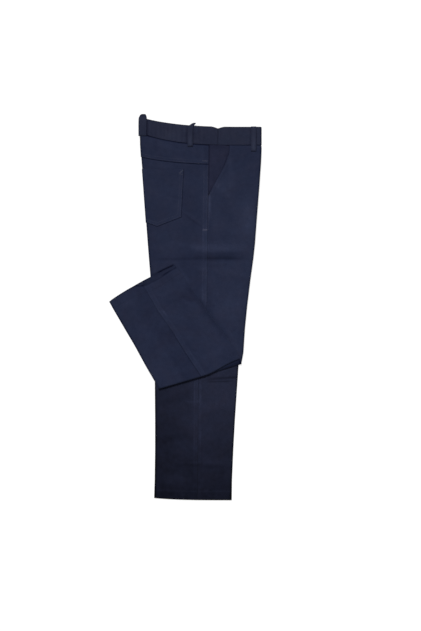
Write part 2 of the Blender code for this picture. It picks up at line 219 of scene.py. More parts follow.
def left_row(level, **more):
    """A row across the left leg."""
    back = Vector((read(LEFT_LEG, "back", level.back), level.back))
    front = Vector((read(LEFT_LEG, "front", level.front), level.front))
    wide = front.x - back.x
    return Row(back, front, (read(LEFT_LEG, "outseam", level.front) - back.x) / wide,
               (read(LEFT_LEG, "inseam", level.front) - back.x) / wide, read(RISE, "back", level.back),
               read(RISE, "front", level.front), bow=level.bow, **more)


def mix_rows(one, two, share):
    """The row part way from one to another."""
    return Row(*(part_way(first, second, share) for first, second in zip(one, two)))


def between_rows(keys, hidden_above=FAR):
    """Close rows through the key rows of a piece, wider apart where the piece is hidden."""
    rows = [keys[0]]
    for one, two in zip(keys, keys[1:]):
        arc = radians(abs(two.turn - one.turn)) * KNEE_BEND * 2
        gap = max((two.back - one.back).length, (two.front - one.front).length, arc,
                  abs(two.kick - one.kick))
        count = max(1, ceil(gap / (HIDDEN_STEP if two.back.y > hidden_above else ROW_STEP)))
        rows += [mix_rows(one, two, part / count) for part in range(1, count + 1)]
    return rows


def middles_apart(one, two):
    """Distance between the middles of two rows."""
    return ((one.back + one.front) - (two.back + two.front)).length / 2


def turned_hem(keys, hidden_above=FAR):
    """Rows of a leg with its hem turned up: down to the edge, round it, and back up inside the leg."""
    backwards = keys[::-1]
    from_edge = [0.0]
    for lower, upper in zip(backwards, backwards[1:]):
        from_edge.append(from_edge[-1] + middles_apart(upper, lower))

    def at(distance, proud=0.0):
        part = next(number for number, far in enumerate(from_edge[1:]) if far >= distance)
        share = (distance - from_edge[part]) / (from_edge[part + 1] - from_edge[part])
        return mix_rows(backwards[part], backwards[part + 1], share)._replace(proud=proud, hem=distance)

    upper_keys = [key for key, far in zip(backwards, from_edge) if far > HEM_DEEP + 9.0][::-1]
    rows = between_rows(upper_keys + [at(HEM_DEEP + 8.0)], hidden_above)
    rows += [at(HEM_DEEP + more) for more in HEM_ROWS]
    rows += [at(back, -down) for back, down in rolled(PLY / 2, 0.0, pi, 6)]
    rows += [at(distance, -PLY) for distance in TURNED_HEM_ROWS]
    return rows


def slipped(share):
    """How far one ply has slipped back from the other along a row: most in the middle, less at the front."""
    return smooth((share - 0.34) / 0.2) * (1 - 0.42 * smooth((share - 0.7) / 0.28))


def place(row, s, h, inner=None):
    """Point s in from the back fold along a row and h up through the leg, turned with the row. The inner ply
    slips with the row's slip, and a point between the plies slips by its share."""
    across = row.front - row.back
    share = min(max(s / across.length, 0.0), 1.0)
    down_leg = Vector((across.y, -across.x)) / across.length
    hump = sin(pi * min(max((share - FOLD_SHARE) / (1 - 2 * FOLD_SHARE), 0.0), 1.0) ** 0.75)
    if inner is None:
        inner = min(max((LEG_DEEP - TWILL / 2 - h) / (LEG_DEEP - TWILL), 0.0), 1.0)
    spin = radians(row.turn)
    kicked = row.kick * smooth((share - 0.58) / 0.42) ** 0.8
    shift = row.bow * hump + row.slip * inner * slipped(share) - kicked
    spot = row.back + across * (s / across.length) + down_leg * (shift + (row.pivot - h) * sin(spin))
    z = row.lift + row.pivot - (row.pivot - h) * cos(spin)
    if row.turn > 0.0:
        z -= droop(spot.x, spot.y)
    return Vector((spot.x, spot.y, z))


def swell(x, y, scale, seed):
    """Soft uneven swelling of cloth, from -1 to 1."""
    return noise.noise(Vector((x / scale, y / scale, seed)))


Fold = namedtuple("Fold", "x0 y0 x1 y1 wide high")


def folds(table, x, y):
    """Height of the listed ridges and troughs at a point: full along each line, gone past its ends."""
    high = 0.0
    for fold in table:
        line = Vector((fold.x1 - fold.x0, fold.y1 - fold.y0))
        length = line.length
        along = ((x - fold.x0) * line.x + (y - fold.y0) * line.y) / length
        off = abs((x - fold.x0) * line.y - (y - fold.y0) * line.x) / length
        if off < 2 * fold.wide and -0.3 * length < along < 1.3 * length:
            ends = smooth((along / length + 0.3) / 0.5) * smooth((1.3 - along / length) / 0.5)
            high += fold.high * ends * cos(pi * min(off / (2 * fold.wide), 1.0) / 2) ** 2
    return high


FLAP_SIDE_TOP = 74.0     # the turned-up part's front fold carries painted shade between these heights
FLAP_SIDE_LOW = -96.0


def along_flap_side(y):
    """From 0 at both ends to 1 along the middle of the turned-up part's front fold."""
    return smooth((FLAP_SIDE_TOP - y) / 24.0) * smooth((y - FLAP_SIDE_LOW) / 30.0)


def edge_shade(row, at_back):
    """How much painted shade darkens a leg along a fold, and how far in. The turned-up part's front fold is
    soft.
    """
    if at_back or row.turn < 90.0:
        return EDGE_SHADE, EDGE_REACH
    return SOFT_SHADE * along_flap_side(row.front.y), SOFT_REACH


def side_at(leg, row, s, side, under=0.0):
    """A point of the cloth on one side of a leg, or of a ply turned under it, and its wear and painted shade
    there.
    """
    level, sign, inner = (leg.outer, leg.sign, 0.0) if side == "outer" else (leg.inner, -leg.sign, 1.0)
    out, wear_and_shade = leg.relief(row, s, side, place(row, s, level, inner))
    wide = wide_of(row)
    from_fold = min(s, wide - s) - LEG_DEEP / 2
    wear_and_shade -= SEAM_SHADE * smooth(max(-row.proud / SUNK_SHADED, under / UNDER_SHADED))
    shade, reach = edge_shade(row, s < wide / 2)
    wear_and_shade -= shade * (1 - smooth(from_fold / reach))
    return place(row, s, level + sign * (out + row.proud - under), inner), wear_and_shade


def turned_under(leg, row, seam_at, toward, reach, radius, side):
    """The edge of a piece along its seam: the allowance turned under it, and the turn itself."""
    allowance = side_at(leg, row, seam_at + toward * reach, side, 2 * radius)
    return [allowance] + [side_at(leg, row, seam_at + toward * back, side, down)
                          for back, down in rolled(radius, pi, 0.0, 4)]


def seam_to_fold(leg, row, seam_at, fold_at, side):
    """One side of a piece, from its seam allowance to its fold. A narrow piece has smaller turns."""
    length = abs(fold_at - seam_at)
    toward = 1.0 if fold_at > seam_at else -1.0
    size = min(1.0, length / NARROW)
    under = turned_under(leg, row, seam_at, toward, TURNED_UNDER * size, PLY / 2 * size, side)
    close = [distance * size for distance in SEAM_COLUMNS]
    columns = leg.outer_columns if side == "outer" else leg.inner_columns
    runs = close + steps(close[-1], length, columns)[1:]
    return under + [side_at(leg, row, seam_at + toward * distance, side) for distance in runs]


def panel_rows(leg, rows, half):
    """Points, wear and painted shade of a front or back, from the outseam round its fold to the inseam or the
    rise seam.
    """
    radius = abs(leg.outer - leg.inner) / 2
    middle = (leg.outer + leg.inner) / 2
    grid = []
    for row in rows:
        wide = wide_of(row)
        if half == "back":
            start = row.outseam * wide - SEAM / 2
            end = min(radius + row.rise_back, row.inseam * wide - SEAM / 2)
            fold, inward = 0.0, 1.0
        else:
            start = row.outseam * wide + max(row.mouth, SEAM / 2)
            end = max(wide - radius - row.rise_front, row.inseam * wide + SEAM / 2)
            fold, inward = wide, -1.0
        turn_in = fold + inward * radius
        deep = radius + row.proud
        shade = edge_shade(row, half == "back")[0]
        arc = []
        for angle in steps(0.0, pi, FOLD_STEPS)[1:-1]:
            s = turn_in - inward * deep * sin(angle)
            arc.append((place(row, s, middle + leg.sign * deep * cos(angle)), -shade))
        grid.append(seam_to_fold(leg, row, start, turn_in, "outer") + arc
                    + seam_to_fold(leg, row, end, turn_in, "inner")[::-1])
    return grid


# The twill's slubs, flecks and patches to a metre, and its diagonal ribs' width and height in metres
SLUBS = 260.0
FLECKS = 85.0
RUDDY_PATCHES = 27.0
FADED_PATCHES = 14.0
RIB_PITCH = 0.0009
RIB_HIGH = 0.0002
FLECK_PALE = 0.24        # how much paler than their troughs the flecks, slubs and ribs are
SLUB_PALE = 0.22
RIB_PALE = 0.06
RUDDY = (1.16, 0.99, 0.93, 1.0)


def weave_group():
    """Navy twill as a node group: diagonal ribs, slubs, fading in patches, and wear where it is pressed,
    together with the painted shade each point carries.
    """
    group = bpy.data.node_groups.new("twill_weave", "ShaderNodeTree")
    for name, kind, value in (("Cloth", "NodeSocketColor", (0.02, 0.025, 0.05, 1.0)),
                              ("Worn cloth", "NodeSocketColor", (0.05, 0.06, 0.1, 1.0)),
                              ("Fade", "NodeSocketFloat", 0.2), ("Ribs", "NodeSocketFloat", 1000.0)):
        socket = group.interface.new_socket(name, in_out="INPUT", socket_type=kind)
        socket.default_value = value
    group.interface.new_socket("Colour", in_out="OUTPUT", socket_type="NodeSocketColor")
    group.interface.new_socket("Roughness", in_out="OUTPUT", socket_type="NodeSocketFloat")
    group.interface.new_socket("Height", in_out="OUTPUT", socket_type="NodeSocketFloat")
    nodes, links = group.nodes, group.links
    given = nodes.new("NodeGroupInput")
    result = nodes.new("NodeGroupOutput")

    def maths(operation, *values):
        node = nodes.new("ShaderNodeMath")
        node.operation = operation
        for socket, value in zip(node.inputs, values):
            if isinstance(value, float):
                socket.default_value = value
            else:
                links.new(value, socket)
        return node.outputs[0]

    def mottle(vector, scale, detail):
        node = nodes.new("ShaderNodeTexNoise")
        node.inputs["Scale"].default_value = scale
        node.inputs["Detail"].default_value = detail
        links.new(vector, node.inputs["Vector"])
        return node.outputs["Fac"]

    def mixed(blend_type, clamped, factor, one, two):
        node = nodes.new("ShaderNodeMix")
        node.data_type = "RGBA"
        node.blend_type = blend_type
        node.clamp_factor = clamped
        for socket in node.inputs:
            value = {"Factor_Float": factor, "A_Color": one, "B_Color": two}.get(socket.identifier)
            if isinstance(value, tuple):
                socket.default_value = value
            elif value is not None:
                links.new(value, socket)
        return next(socket for socket in node.outputs if socket.identifier == "Result_Color")

    grain = nodes.new("ShaderNodeUVMap")
    grain.uv_map = "grain"
    apart = nodes.new("ShaderNodeSeparateXYZ")
    links.new(grain.outputs["UV"], apart.inputs[0])
    slub = mottle(grain.outputs["UV"], SLUBS, 3.0)
    diagonal = maths("MULTIPLY", maths("ADD", apart.outputs["X"], apart.outputs["Y"]), given.outputs["Ribs"])
    ribs = maths("MULTIPLY_ADD", maths("SINE", maths("MULTIPLY_ADD", slub, 2.0, diagonal)), 0.5, 0.5)
    patches = mottle(grain.outputs["UV"], FADED_PATCHES, 4.0)
    flecks = mottle(grain.outputs["UV"], FLECKS, 2.0)
    ruddy = maths("MULTIPLY_ADD", mottle(grain.outputs["UV"], RUDDY_PATCHES, 3.0), 2.2, -0.9)
    wear_and_shade = nodes.new("ShaderNodeAttribute")
    wear_and_shade.attribute_name = "wear_and_shade"
    # wear and painted shade of each point, varied by the slubs
    rubbed_and_shaded = maths("MULTIPLY", wear_and_shade.outputs["Fac"], maths("MULTIPLY_ADD", slub, 0.9, 0.55))
    light = maths("MULTIPLY_ADD", maths("SUBTRACT", patches, 0.5), given.outputs["Fade"], rubbed_and_shaded)
    for pattern, pale in ((flecks, FLECK_PALE), (ribs, RIB_PALE), (slub, SLUB_PALE)):
        light = maths("MULTIPLY_ADD", maths("SUBTRACT", pattern, 0.5), pale, light)
    navy = mixed("MIX", False, light, given.outputs["Cloth"], given.outputs["Worn cloth"])
    links.new(mixed("MULTIPLY", True, ruddy, navy, RUDDY), result.inputs["Colour"])
    links.new(maths("MULTIPLY_ADD", rubbed_and_shaded, -0.25, 0.88), result.inputs["Roughness"])
    links.new(maths("MULTIPLY_ADD", ribs, 0.6, maths("MULTIPLY", slub, 0.8)), result.inputs["Height"])
    return group


twill_weave = weave_group()


def twill(name, cloth, wear_and_shade, fade=0.42, bump=0.25):
    """A cloth of navy twill: its own colours put through the shared weave."""
    material = bpy.data.materials.new(name)
    material.use_nodes = True
    nodes, links = material.node_tree.nodes, material.node_tree.links
    shader = nodes["Principled BSDF"]
    weave = nodes.new("ShaderNodeGroup")
    weave.node_tree = twill_weave
    weave.inputs["Cloth"].default_value = (*cloth, 1.0)
    weave.inputs["Worn cloth"].default_value = (*wear_and_shade, 1.0)
    weave.inputs["Fade"].default_value = fade
    weave.inputs["Ribs"].default_value = 2 * pi / RIB_PITCH
    raised = nodes.new("ShaderNodeBump")
    raised.inputs["Strength"].default_value = bump
    raised.inputs["Distance"].default_value = RIB_HIGH
    links.new(weave.outputs["Colour"], shader.inputs["Base Color"])
    links.new(weave.outputs["Roughness"], shader.inputs["Roughness"])
    links.new(weave.outputs["Height"], raised.inputs["Height"])
    links.new(raised.outputs["Normal"], shader.inputs["Normal"])
    shader.inputs["Specular IOR Level"].default_value = 0.1
    shader.inputs["Sheen Weight"].default_value = 0.04
    shader.inputs["Sheen Roughness"].default_value = 0.45
    shader.inputs["Sheen Tint"].default_value = (0.55, 0.6, 0.85, 1.0)
    return material


def cloth_piece(name, grid, material, node, thick=TWILL):
    """A cut piece through a grid of points, as thick as its cloth, which stands for its solid."""
    across = len(grid[0])
    spots = [spot * MM for line in grid for spot, _ in line]
    corners = [r * across + c for r in range(len(grid) - 1) for c in range(across - 1)]
    faces = [(first, first + 1, first + across + 1, first + across) for first in corners]
    mesh = bpy.data.meshes.new(name)
    mesh.from_pydata(spots, [], faces)
    # Each point carries its wear together with painted light and shade; below 0 the cloth is painted darker
    wear_and_shade = mesh.attributes.new("wear_and_shade", "FLOAT", "POINT")
    wear_and_shade.data.foreach_set("value", [point_wear_and_shade for line in grid for _, point_wear_and_shade in line])
    centre = across // 2
    down, grains = 0.0, []
    for r, line in enumerate(grid):
        down += (line[centre][0] - grid[r - 1][centre][0]).length if r else 0.0
        over = 0.0
        for c, (spot, _) in enumerate(line):
            over += (spot - line[c - 1][0]).length if c else 0.0
            grains.append((over * MM, down * MM))
    grain = mesh.uv_layers.new(name="grain")
    for loop in mesh.loops:
        grain.data[loop.index].uv = grains[loop.vertex_index]
    mesh.materials.append(material)
    mesh.shade_smooth()
    piece = bpy.data.objects.new(name, mesh)
    bpy.context.scene.collection.objects.link(piece)
    wall = piece.modifiers.new("Cloth", "SOLIDIFY")
    wall.thickness = thick * MM
    wall.offset = 0.0
    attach(piece, "root")
    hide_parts(node)
    return piece


def leg_piece(name, leg, rows, half, material, node):
    """A front, a back or a yoke of a leg, through its rows."""
    return cloth_piece(name, panel_rows(leg, rows, half), material, node)


LOWER_FOLDS = (
    Fold(62.0, -178.2, 126.0, -174.2, 2.4, -2.0),
    Fold(58.0, -184.2, 112.0, -182.8, 2.3, -1.4),
    Fold(60.0, -180.6, 118.0, -178.4, 2.2, 0.7),
    Fold(8.0, -235.0, 36.0, -234.0, 2.4, 0.7),
    Fold(-10.0, -384.0, 70.0, -386.0, 3.0, 0.3),
    Fold(-10.0, -391.0, 96.0, -393.0, 6.0, -0.4),
    Fold(-60.0, -240.0, 10.0, -216.0, 9.0, -0.5),
    Fold(50.0, -250.0, 108.0, -236.0, 10.0, 0.4),
    Fold(-55.0, -330.0, 6.0, -318.0, 8.0, -0.4),
    Fold(42.0, -372.0, 104.0, -386.0, 9.0, 0.4),
    Fold(-48.0, -430.0, 10.0, -424.0, 7.0, 0.35),
)
UNDER_FOLDS = (
    Fold(-70.0, 150.0, 120.0, 136.0, 6.0, -0.7),
    Fold(-60.0, -150.0, 40.0, -178.0, 5.0, -0.6),
    Fold(10.0, -188.0, 104.0, -181.0, 4.0, -0.6),
    Fold(-30.0, 40.0, 90.0, 62.0, 9.0, -0.4),
    Fold(-50.0, -330.0, 60.0, -322.0, 7.0, -0.4),
)
STRIP = 12.5             # seam allowance pressed to one side, which shows as a raised strip
STRIP_HIGH = 0.5
SEAM_DITCH = 0.5
STRIP_WORN = 0.10        # its top, the cloth beside its seam and its far rim are rubbed paler by these
SEAM_WORN = 0.16
RIM_WORN = 0.24
HEM_STITCHES = 1.0       # from the top of a turned-up hem down to its stitching
HEM_GROOVE = 0.3
HEM_STEP = 0.25          # thickness of the turned-up ply, as it shows through


def strip_relief(distance, along, wide=STRIP, high=STRIP_HIGH):
    """Height and wear beside a seam whose allowance lies under this side of it, uneven along the seam."""
    uneven = 0.5 + 0.7 * swell(along, distance, 30.0, 21.0) + 0.5 * swell(along, distance * 3.0, 9.0, 22.0)
    edge = wide + 0.7 * swell(along, 0.0, 22.0, 23.0)
    raised = high * smooth(distance / 0.9) * (1 - smooth((distance - edge + 1.2) / 1.6))
    beside_seam = peak(distance - 2.0, 2.2)
    rim = peak(distance - edge + 1.6, 2.6)
    top = smooth(distance) * (1 - smooth((distance - edge) / 1.5))
    wear_and_shade = (STRIP_WORN * top + SEAM_WORN * beside_seam + RIM_WORN * rim) * max(uneven, 0.15)
    return raised - SEAM_DITCH * (1 - smooth(distance / 1.1)), wear_and_shade


def hem_relief(distance, pale):
    """Height, wear and painted shade of a turned-up hem: a shallow groove and paler wear at its stitching,
    and painted shade along its pressed edge.
    """
    past_stitches = distance - HEM_DEEP + HEM_STITCHES
    groove = -HEM_GROOVE * peak(past_stitches, 1.1)
    step = HEM_STEP * (1 - smooth(distance - HEM_DEEP + 2.5))
    wear_and_shade = pale * peak(past_stitches, 3.5) - EDGE_SHADE * (1 - smooth(distance / 2.5))
    return groove + step, wear_and_shade


def below_knee(x, y):
    """How far a point of the left leg lies below the fold that covers the rest."""
    line = Vector(KNEE_FRONT) - Vector(KNEE_BACK)
    return ((x - KNEE_BACK[0]) * line.y - (y - KNEE_BACK[1]) * line.x) / line.length


def from_folds(row, s):
    """From 0 at the two folds of a leg to 1 away from them."""
    return smooth((min(s, wide_of(row) - s) - LEG_DEEP / 2) / 9.0)


# How cloth puffs up: its height in the middle of a leg, and the height, width and seed of its broad swellings
Puff = namedtuple("Puff", "full uneven scale seed fine_seed")
LEFT_PUFF = Puff(0.35, 0.22, 34.0, 1.0, 16.0)
FINE_PUFF = 0.12
FINE_PUFF_SCALE = 11.0


def puffed(puff, share, spot):
    """How far cloth stands up across a leg: fullest in the middle, with broad and with fine swellings."""
    high = puff.full * sin(pi * min(max(share, 0.0), 1.0))
    high += puff.uneven * swell(spot.x, spot.y, puff.scale, puff.seed)
    return high + FINE_PUFF * swell(spot.x, spot.y, FINE_PUFF_SCALE, puff.fine_seed)


def left_relief(row, s, side, spot):
    """Relief of the left leg: seams, hem and folds where it shows, soft troughs on the side it lies on."""
    wide = wide_of(row)
    if side == "outer":
        return -abs(folds(UNDER_FOLDS, spot.x, spot.y)) * from_folds(row, s), 0.1
    below = below_knee(spot.x, spot.y)
    shows = smooth((below - 7.0) / 8.0)
    distance = row.inseam * wide - s
    seam, wear_and_shade = strip_relief(abs(distance), spot.y, 11.0 if distance > 0 else 7.5, 0.4)
    hem, hem_wear_and_shade = hem_relief(row.hem, 0.08)
    creases = folds(LOWER_FOLDS, spot.x, spot.y)
    puff = puffed(LEFT_PUFF, s / wide, spot)
    out = (seam + puff + creases) * shows * from_folds(row, s) + hem
    # Painted shade: darker toward the hem and toward the back fold as the light falls off there, with painted
    # light just below the fold at the knee that eases its shadow.
    painted_shade = 0.38 * smooth((-190.0 - spot.y) / 290.0) - 0.12
    painted_shade += 0.22 * smooth((60.0 - spot.x) / 130.0) * (1 - 0.8 * smooth((-230.0 - spot.y) / 200.0))
    painted_shade += 0.06 * smooth((-440.0 - spot.y) / 20.0) - 0.25 * (1 - smooth((below - 3.0) / 4.0))
    wear_and_shade *= 0.2 + 0.8 * smooth((spot.y + 430.0) / 160.0)
    return out, wear_and_shade * shows + 1.7 * TROUGH_SHADE * creases + hem_wear_and_shade - painted_shade


def under_band(row_at, tuck):
    """Key rows where a piece runs up between the plies of the waistband."""
    down_and_sunk = ((-BAND_HIDES, 1.0), (0.0, 1.0), (1.0, 1.0), (2.0, 0.7), (3.4, 0.25), (5.5, 0.05),
                     (8.0, 0.0))
    return [row_at(lowered(BAND_SEAM, down), proud=-sunk * tuck) for down, sunk in down_and_sunk]


def rolled_yoke(row_at, high):
    """Key rows of the bottom of the yoke, whose edge is turned under and stands proud of the back panel."""
    rows = [row_at(YOKE_MIDDLE), row_at(lowered(YOKE_SEAM, -9.0), proud=0.5 * high),
            row_at(lowered(YOKE_SEAM, -1.5), proud=high)]
    rows += [row_at(lowered(YOKE_SEAM, -back), proud=high - down)
             for back, down in rolled(PLY / 2, 0.0, pi, 5)]
    return rows + [row_at(lowered(YOKE_SEAM, -TURNED_UNDER), proud=high - PLY)]


def under_yoke(row_at, high):
    """Key rows of the top of the back panel, which runs up under the yoke."""
    low = high - 2 * PLY
    down_and_sunk = ((-TURNED_UNDER, 1.0), (0.4, 1.0), (1.4, 0.8), (2.6, 0.3), (4.5, 0.05), (7.0, 0.0))
    return [row_at(lowered(YOKE_SEAM, down), proud=sunk * low) for down, sunk in down_and_sunk]


left_leg = Side(outer=TWILL / 2, inner=LEG_DEEP - TWILL / 2, sign=-1.0, relief=left_relief, outer_columns=22,
                inner_columns=36)
LEFT_HIDDEN = -125.0     # the left leg is covered above this
LEFT_LEVELS = (299.6, 265.0, 228.0, 201.0, 181.0, 166.0, 151.0, 62.5, -56.1, -145.0, -189.4, -278.4, -352.5,
               -426.6)
LEFT_HEM = Level(-471.4, -476.8, 2.0)
LEFT_TUCK = 1.25         # how far it is sunk between the plies of the waistband
left_keys = [left_row(straight(y)) for y in LEFT_LEVELS] + [left_row(LEFT_HEM)]
left_back_keys = under_yoke(left_row, 0.0) + left_keys
left_front_keys = under_band(left_row, LEFT_TUCK) + [left_row(YOKE_MIDDLE), left_row(YOKE_SEAM)]
left_front_keys += left_keys
left_yoke_keys = under_band(left_row, LEFT_TUCK) + rolled_yoke(left_row, 0.0)
# The left leg's twill is a darker copy of the right leg's: painted shade for the leg lying lower, farther
# from the light
under_twill = twill("under_leg_twill", (0.0056, 0.0072, 0.0176), (0.018, 0.0225, 0.050))
left_back = leg_piece("left_back", left_leg, turned_hem(left_back_keys, LEFT_HIDDEN), "back", under_twill,
                      "left_back_panel")
left_front = leg_piece("left_front", left_leg, turned_hem(left_front_keys, LEFT_HIDDEN), "front", under_twill,
                       "left_front_panel")
left_yoke = leg_piece("left_back_yoke", left_leg, between_rows(left_yoke_keys), "back", under_twill,
                      "left_yoke")

# Right leg: the same cut pieces of twill, lying on the left leg with their outer side up. At the knee they
# turn up over the thigh, so the turned-up part shows its inner side. Its free corner has come down to the
# table.
Thigh = namedtuple("Thigh", "y back outseam front lift")
RIGHT_THIGH = (
    Thigh(470.0, -112.8, 58.5, 188.3, 3.4),
    Thigh(402.4, -111.6, 58.5, 188.3, 3.4),
    Thigh(380.0, -109.8, 58.1, 187.9, 4.8),
    Thigh(354.2, -106.8, 57.6, 186.5, 4.8),
    Thigh(299.6, -102.8, 56.6, 182.7, 4.8),
    Thigh(240.3, -98.5, 55.6, 178.0, 4.8),
    Thigh(181.1, -94.2, 55.1, 173.5, 4.8),
    Thigh(160.0, -92.7, 55.0, 172.2, 3.4),
    Thigh(121.8, -89.7, 54.8, 168.0, 3.4),
    Thigh(62.5, -84.7, 54.1, 159.8, 3.4),
    Thigh(3.2, -81.5, 53.1, 152.6, 3.4),
    Thigh(-51.1, -79.3, 51.1, 147.2, 3.4),
    Thigh(-112.0, -76.6, 48.0, 143.2, 3.4),
    Thigh(-150.0, -73.5, 46.0, 140.5, 3.4),
)
THIGH_INSEAM = 0.5
HIP_LEVEL = Level(331.0, 323.0, 3.0)
THIGH_LEVEL = straight(299.6)
# Mouth of the slant pocket: how far in front of the outseam the front panel starts
Mouth = namedtuple("Mouth", "y wide")
MOUTH = (Mouth(470.0, 52.0), Mouth(385.0, 52.0), Mouth(366.0, 47.5), Mouth(346.0, 37.5), Mouth(327.0, 28.0),
         Mouth(299.0, 12.5), Mouth(272.4, 0.0))
MOUTH_CLOSED = 2.0       # where it is narrower than this, the front lies against the outseam
# Heights of the key rows down the thigh, close together along its crease
THIGH_HEIGHTS = (272.4, 228.0, 201.0, 181.0, 166.0, 158.0, 151.0, 146.0, 142.0, 139.0, 136.5, 134.0, 131.5,
                 129.3, 127.3, 125.4, 123.5, 121.7, 119.9, 118.1, 116.3, 114.0, 110.0, 104.0, 62.5, 3.2,
                 -51.1)
# Rows of the turned-up leg from above the knee to its hem. Slip is how far its plies have slid on each other.
Flap = namedtuple("Flap", "back front pivot bow slip kick outseam inseam")
FLAP = (
    Flap((-74.7, -183.0), (127.5, -111.6), 4.1, 0.2, 0.0, 5.0, 0.55, 0.491),
    Flap((-98.2, -143.3), (107.9, -82.5), 3.6, 0.0, 0.0, 0.0, 0.55, 0.484),
    Flap((-127.9, -90.2), (68.4, -28.9), 3.2, 0.0, 0.0, 0.0, 0.54, 0.49),
    Flap((-157.5, -39.8), (21.5, 32.9), 3.2, 0.0, 1.5, 0.0, 0.54, 0.488),
    Flap((-177.4, -5.7), (-11.9, 86.0), 3.2, 0.0, 8.0, 0.0, 0.53, 0.495),
    Flap((-188.3, 14.2), (-24.2, 105.0), 3.2, -4.3, 13.0, 0.0, 0.53, 0.498),
)
HEM_BOW = 4.3            # the hem's line bulges so far past a straight one
KNEE_OUTSEAM = 0.56      # shares of the knee's width from the back fold to its seams
KNEE_INSEAM = 0.51
KNEE_BOW = 0.4
TURNED_OVER = 180.0
# Round the fold at the knee: the cloth comes part way up, slopes back in a short ledge, then goes up and over
KneeTurn = namedtuple("KneeTurn", "turn kick")
KNEE_TURNS = (KneeTurn(0.0, 0.0), KneeTurn(30.0, 0.0), KneeTurn(50.0, 0.6), KneeTurn(62.0, 3.0),
              KneeTurn(96.0, 12.5), KneeTurn(108.0, 14.5), KneeTurn(140.0, 14.5), KneeTurn(TURNED_OVER, 13.0))
KNEE_SHADE = 0.3         # painted shade on the round of the knee fold
RIGHT_LIFT = LEG_DEEP + LAY
FLAT_PIVOT = LEG_DEEP + LAY / 2     # the height about which the turned-up leg lies flat on the thigh
FLAP_REST = 9.0          # the turned-up leg starts to come down this far past the back folds
FLAP_DROOP = 38.0        # and lies on the surface this much farther out
# The crease across the thigh: height down the leg, painted highlight on its upper slope (pale above 0) and
# painted shade in its trough (pale below 0), and how strong it is across the leg
Crease = namedtuple("Crease", "y high pale")
CREASE = (
    Crease(166.0, 0.0, 0.0),
    Crease(158.0, 0.7, 0.03),
    Crease(150.0, 2.0, 0.12),
    Crease(143.0, 3.3, 0.15),
    Crease(137.0, 4.0, 0.04),
    Crease(133.0, 3.7, -0.05),
    Crease(128.5, 2.9, -0.08),
    Crease(123.5, 1.4, -0.12),
    Crease(119.5, -0.6, -0.18),
    Crease(116.0, -1.1, -0.08),
    Crease(108.0, 0.0, 0.0),
)
Strength = namedtuple("Strength", "x share")
CREASE_STRENGTH = (Strength(170.0, 0.0), Strength(152.0, 0.14), Strength(137.0, 0.42), Strength(120.0, 0.85),
                   Strength(104.0, 1.0), Strength(58.0, 1.0), Strength(44.0, 0.7), Strength(18.0, 0.42),
                   Strength(6.0, 0.18), Strength(-12.0, 0.1), Strength(-90.0, 0.07))
THIGH_FOLDS = (
    Fold(-3.0, 228.0, 36.0, 200.0, 2.0, -1.1),
    Fold(0.0, 234.0, 39.0, 206.0, 3.2, 0.45),
    Fold(-67.0, 116.5, 4.0, 117.5, 3.0, -0.8),
    Fold(61.0, 282.0, 64.5, 216.0, 2.2, 0.55),
    Fold(-74.0, 408.0, -71.0, 384.0, 5.0, -0.5),
    Fold(96.0, 310.0, 84.0, 262.0, 7.0, 0.5),
    Fold(80.0, 285.0, 118.0, 205.0, 9.0, -0.4),
    Fold(150.0, 270.0, 160.0, 170.0, 12.0, 0.6),
    Fold(-72.0, 176.0, 20.0, 170.0, 8.0, 0.4),
    Fold(20.0, 96.0, 140.0, 80.0, 6.0, 0.5),
    Fold(70.0, 40.0, 138.0, 24.0, 10.0, -0.5),
    Fold(60.0, 70.0, 80.0, -10.0, 9.0, 0.4),
    Fold(110.0, -20.0, 140.0, -60.0, 8.0, 0.5),
    Fold(-60.0, 395.0, 30.0, 382.0, 6.0, 0.3),
)
FLAP_FOLDS = (
    Fold(-8.0, 26.0, 20.0, 15.0, 5.0, -0.9),
    Fold(-40.0, 8.0, -8.0, 22.0, 6.0, -0.5),
    Fold(-60.0, 60.0, -30.0, 78.0, 5.0, -0.4),
    Fold(-95.0, 30.0, -62.0, -38.0, 12.0, 0.5),
    Fold(18.0, 0.0, 62.0, -70.0, 12.0, 0.6),
    Fold(-30.0, -60.0, 10.0, -95.0, 10.0, -0.5),
    Fold(-110.0, -20.0, -84.0, -66.0, 9.0, -0.4),
    Fold(-20.0, -160.0, 40.0, -140.0, 8.0, 0.4),
    Fold(46.0, -128.0, 92.0, -108.0, 7.0, 0.5),
    Fold(-150.0, 6.0, -120.0, 34.0, 7.0, 0.4),
)
# How much of the seam strip's wear shows at each height, least by the crease and by the pocket
StripWear = namedtuple("StripWear", "y share")
STRIP_WEAR = (StripWear(349.0, 0.0), StripWear(329.0, 0.0), StripWear(310.0, 0.12), StripWear(290.0, 0.8),
              StripWear(270.0, 1.1), StripWear(230.0, 1.0), StripWear(211.0, 0.7), StripWear(191.0, 0.95),
              StripWear(171.0, 1.2), StripWear(151.0, 0.9), StripWear(130.0, 0.6), StripWear(118.0, 0.12),
              StripWear(106.0, 0.12), StripWear(92.0, 1.2), StripWear(62.0, 1.1), StripWear(38.0, 1.1),
              StripWear(13.0, 2.0))
PATCH_STRENGTH = 0.6             # how strongly all the pale patches show
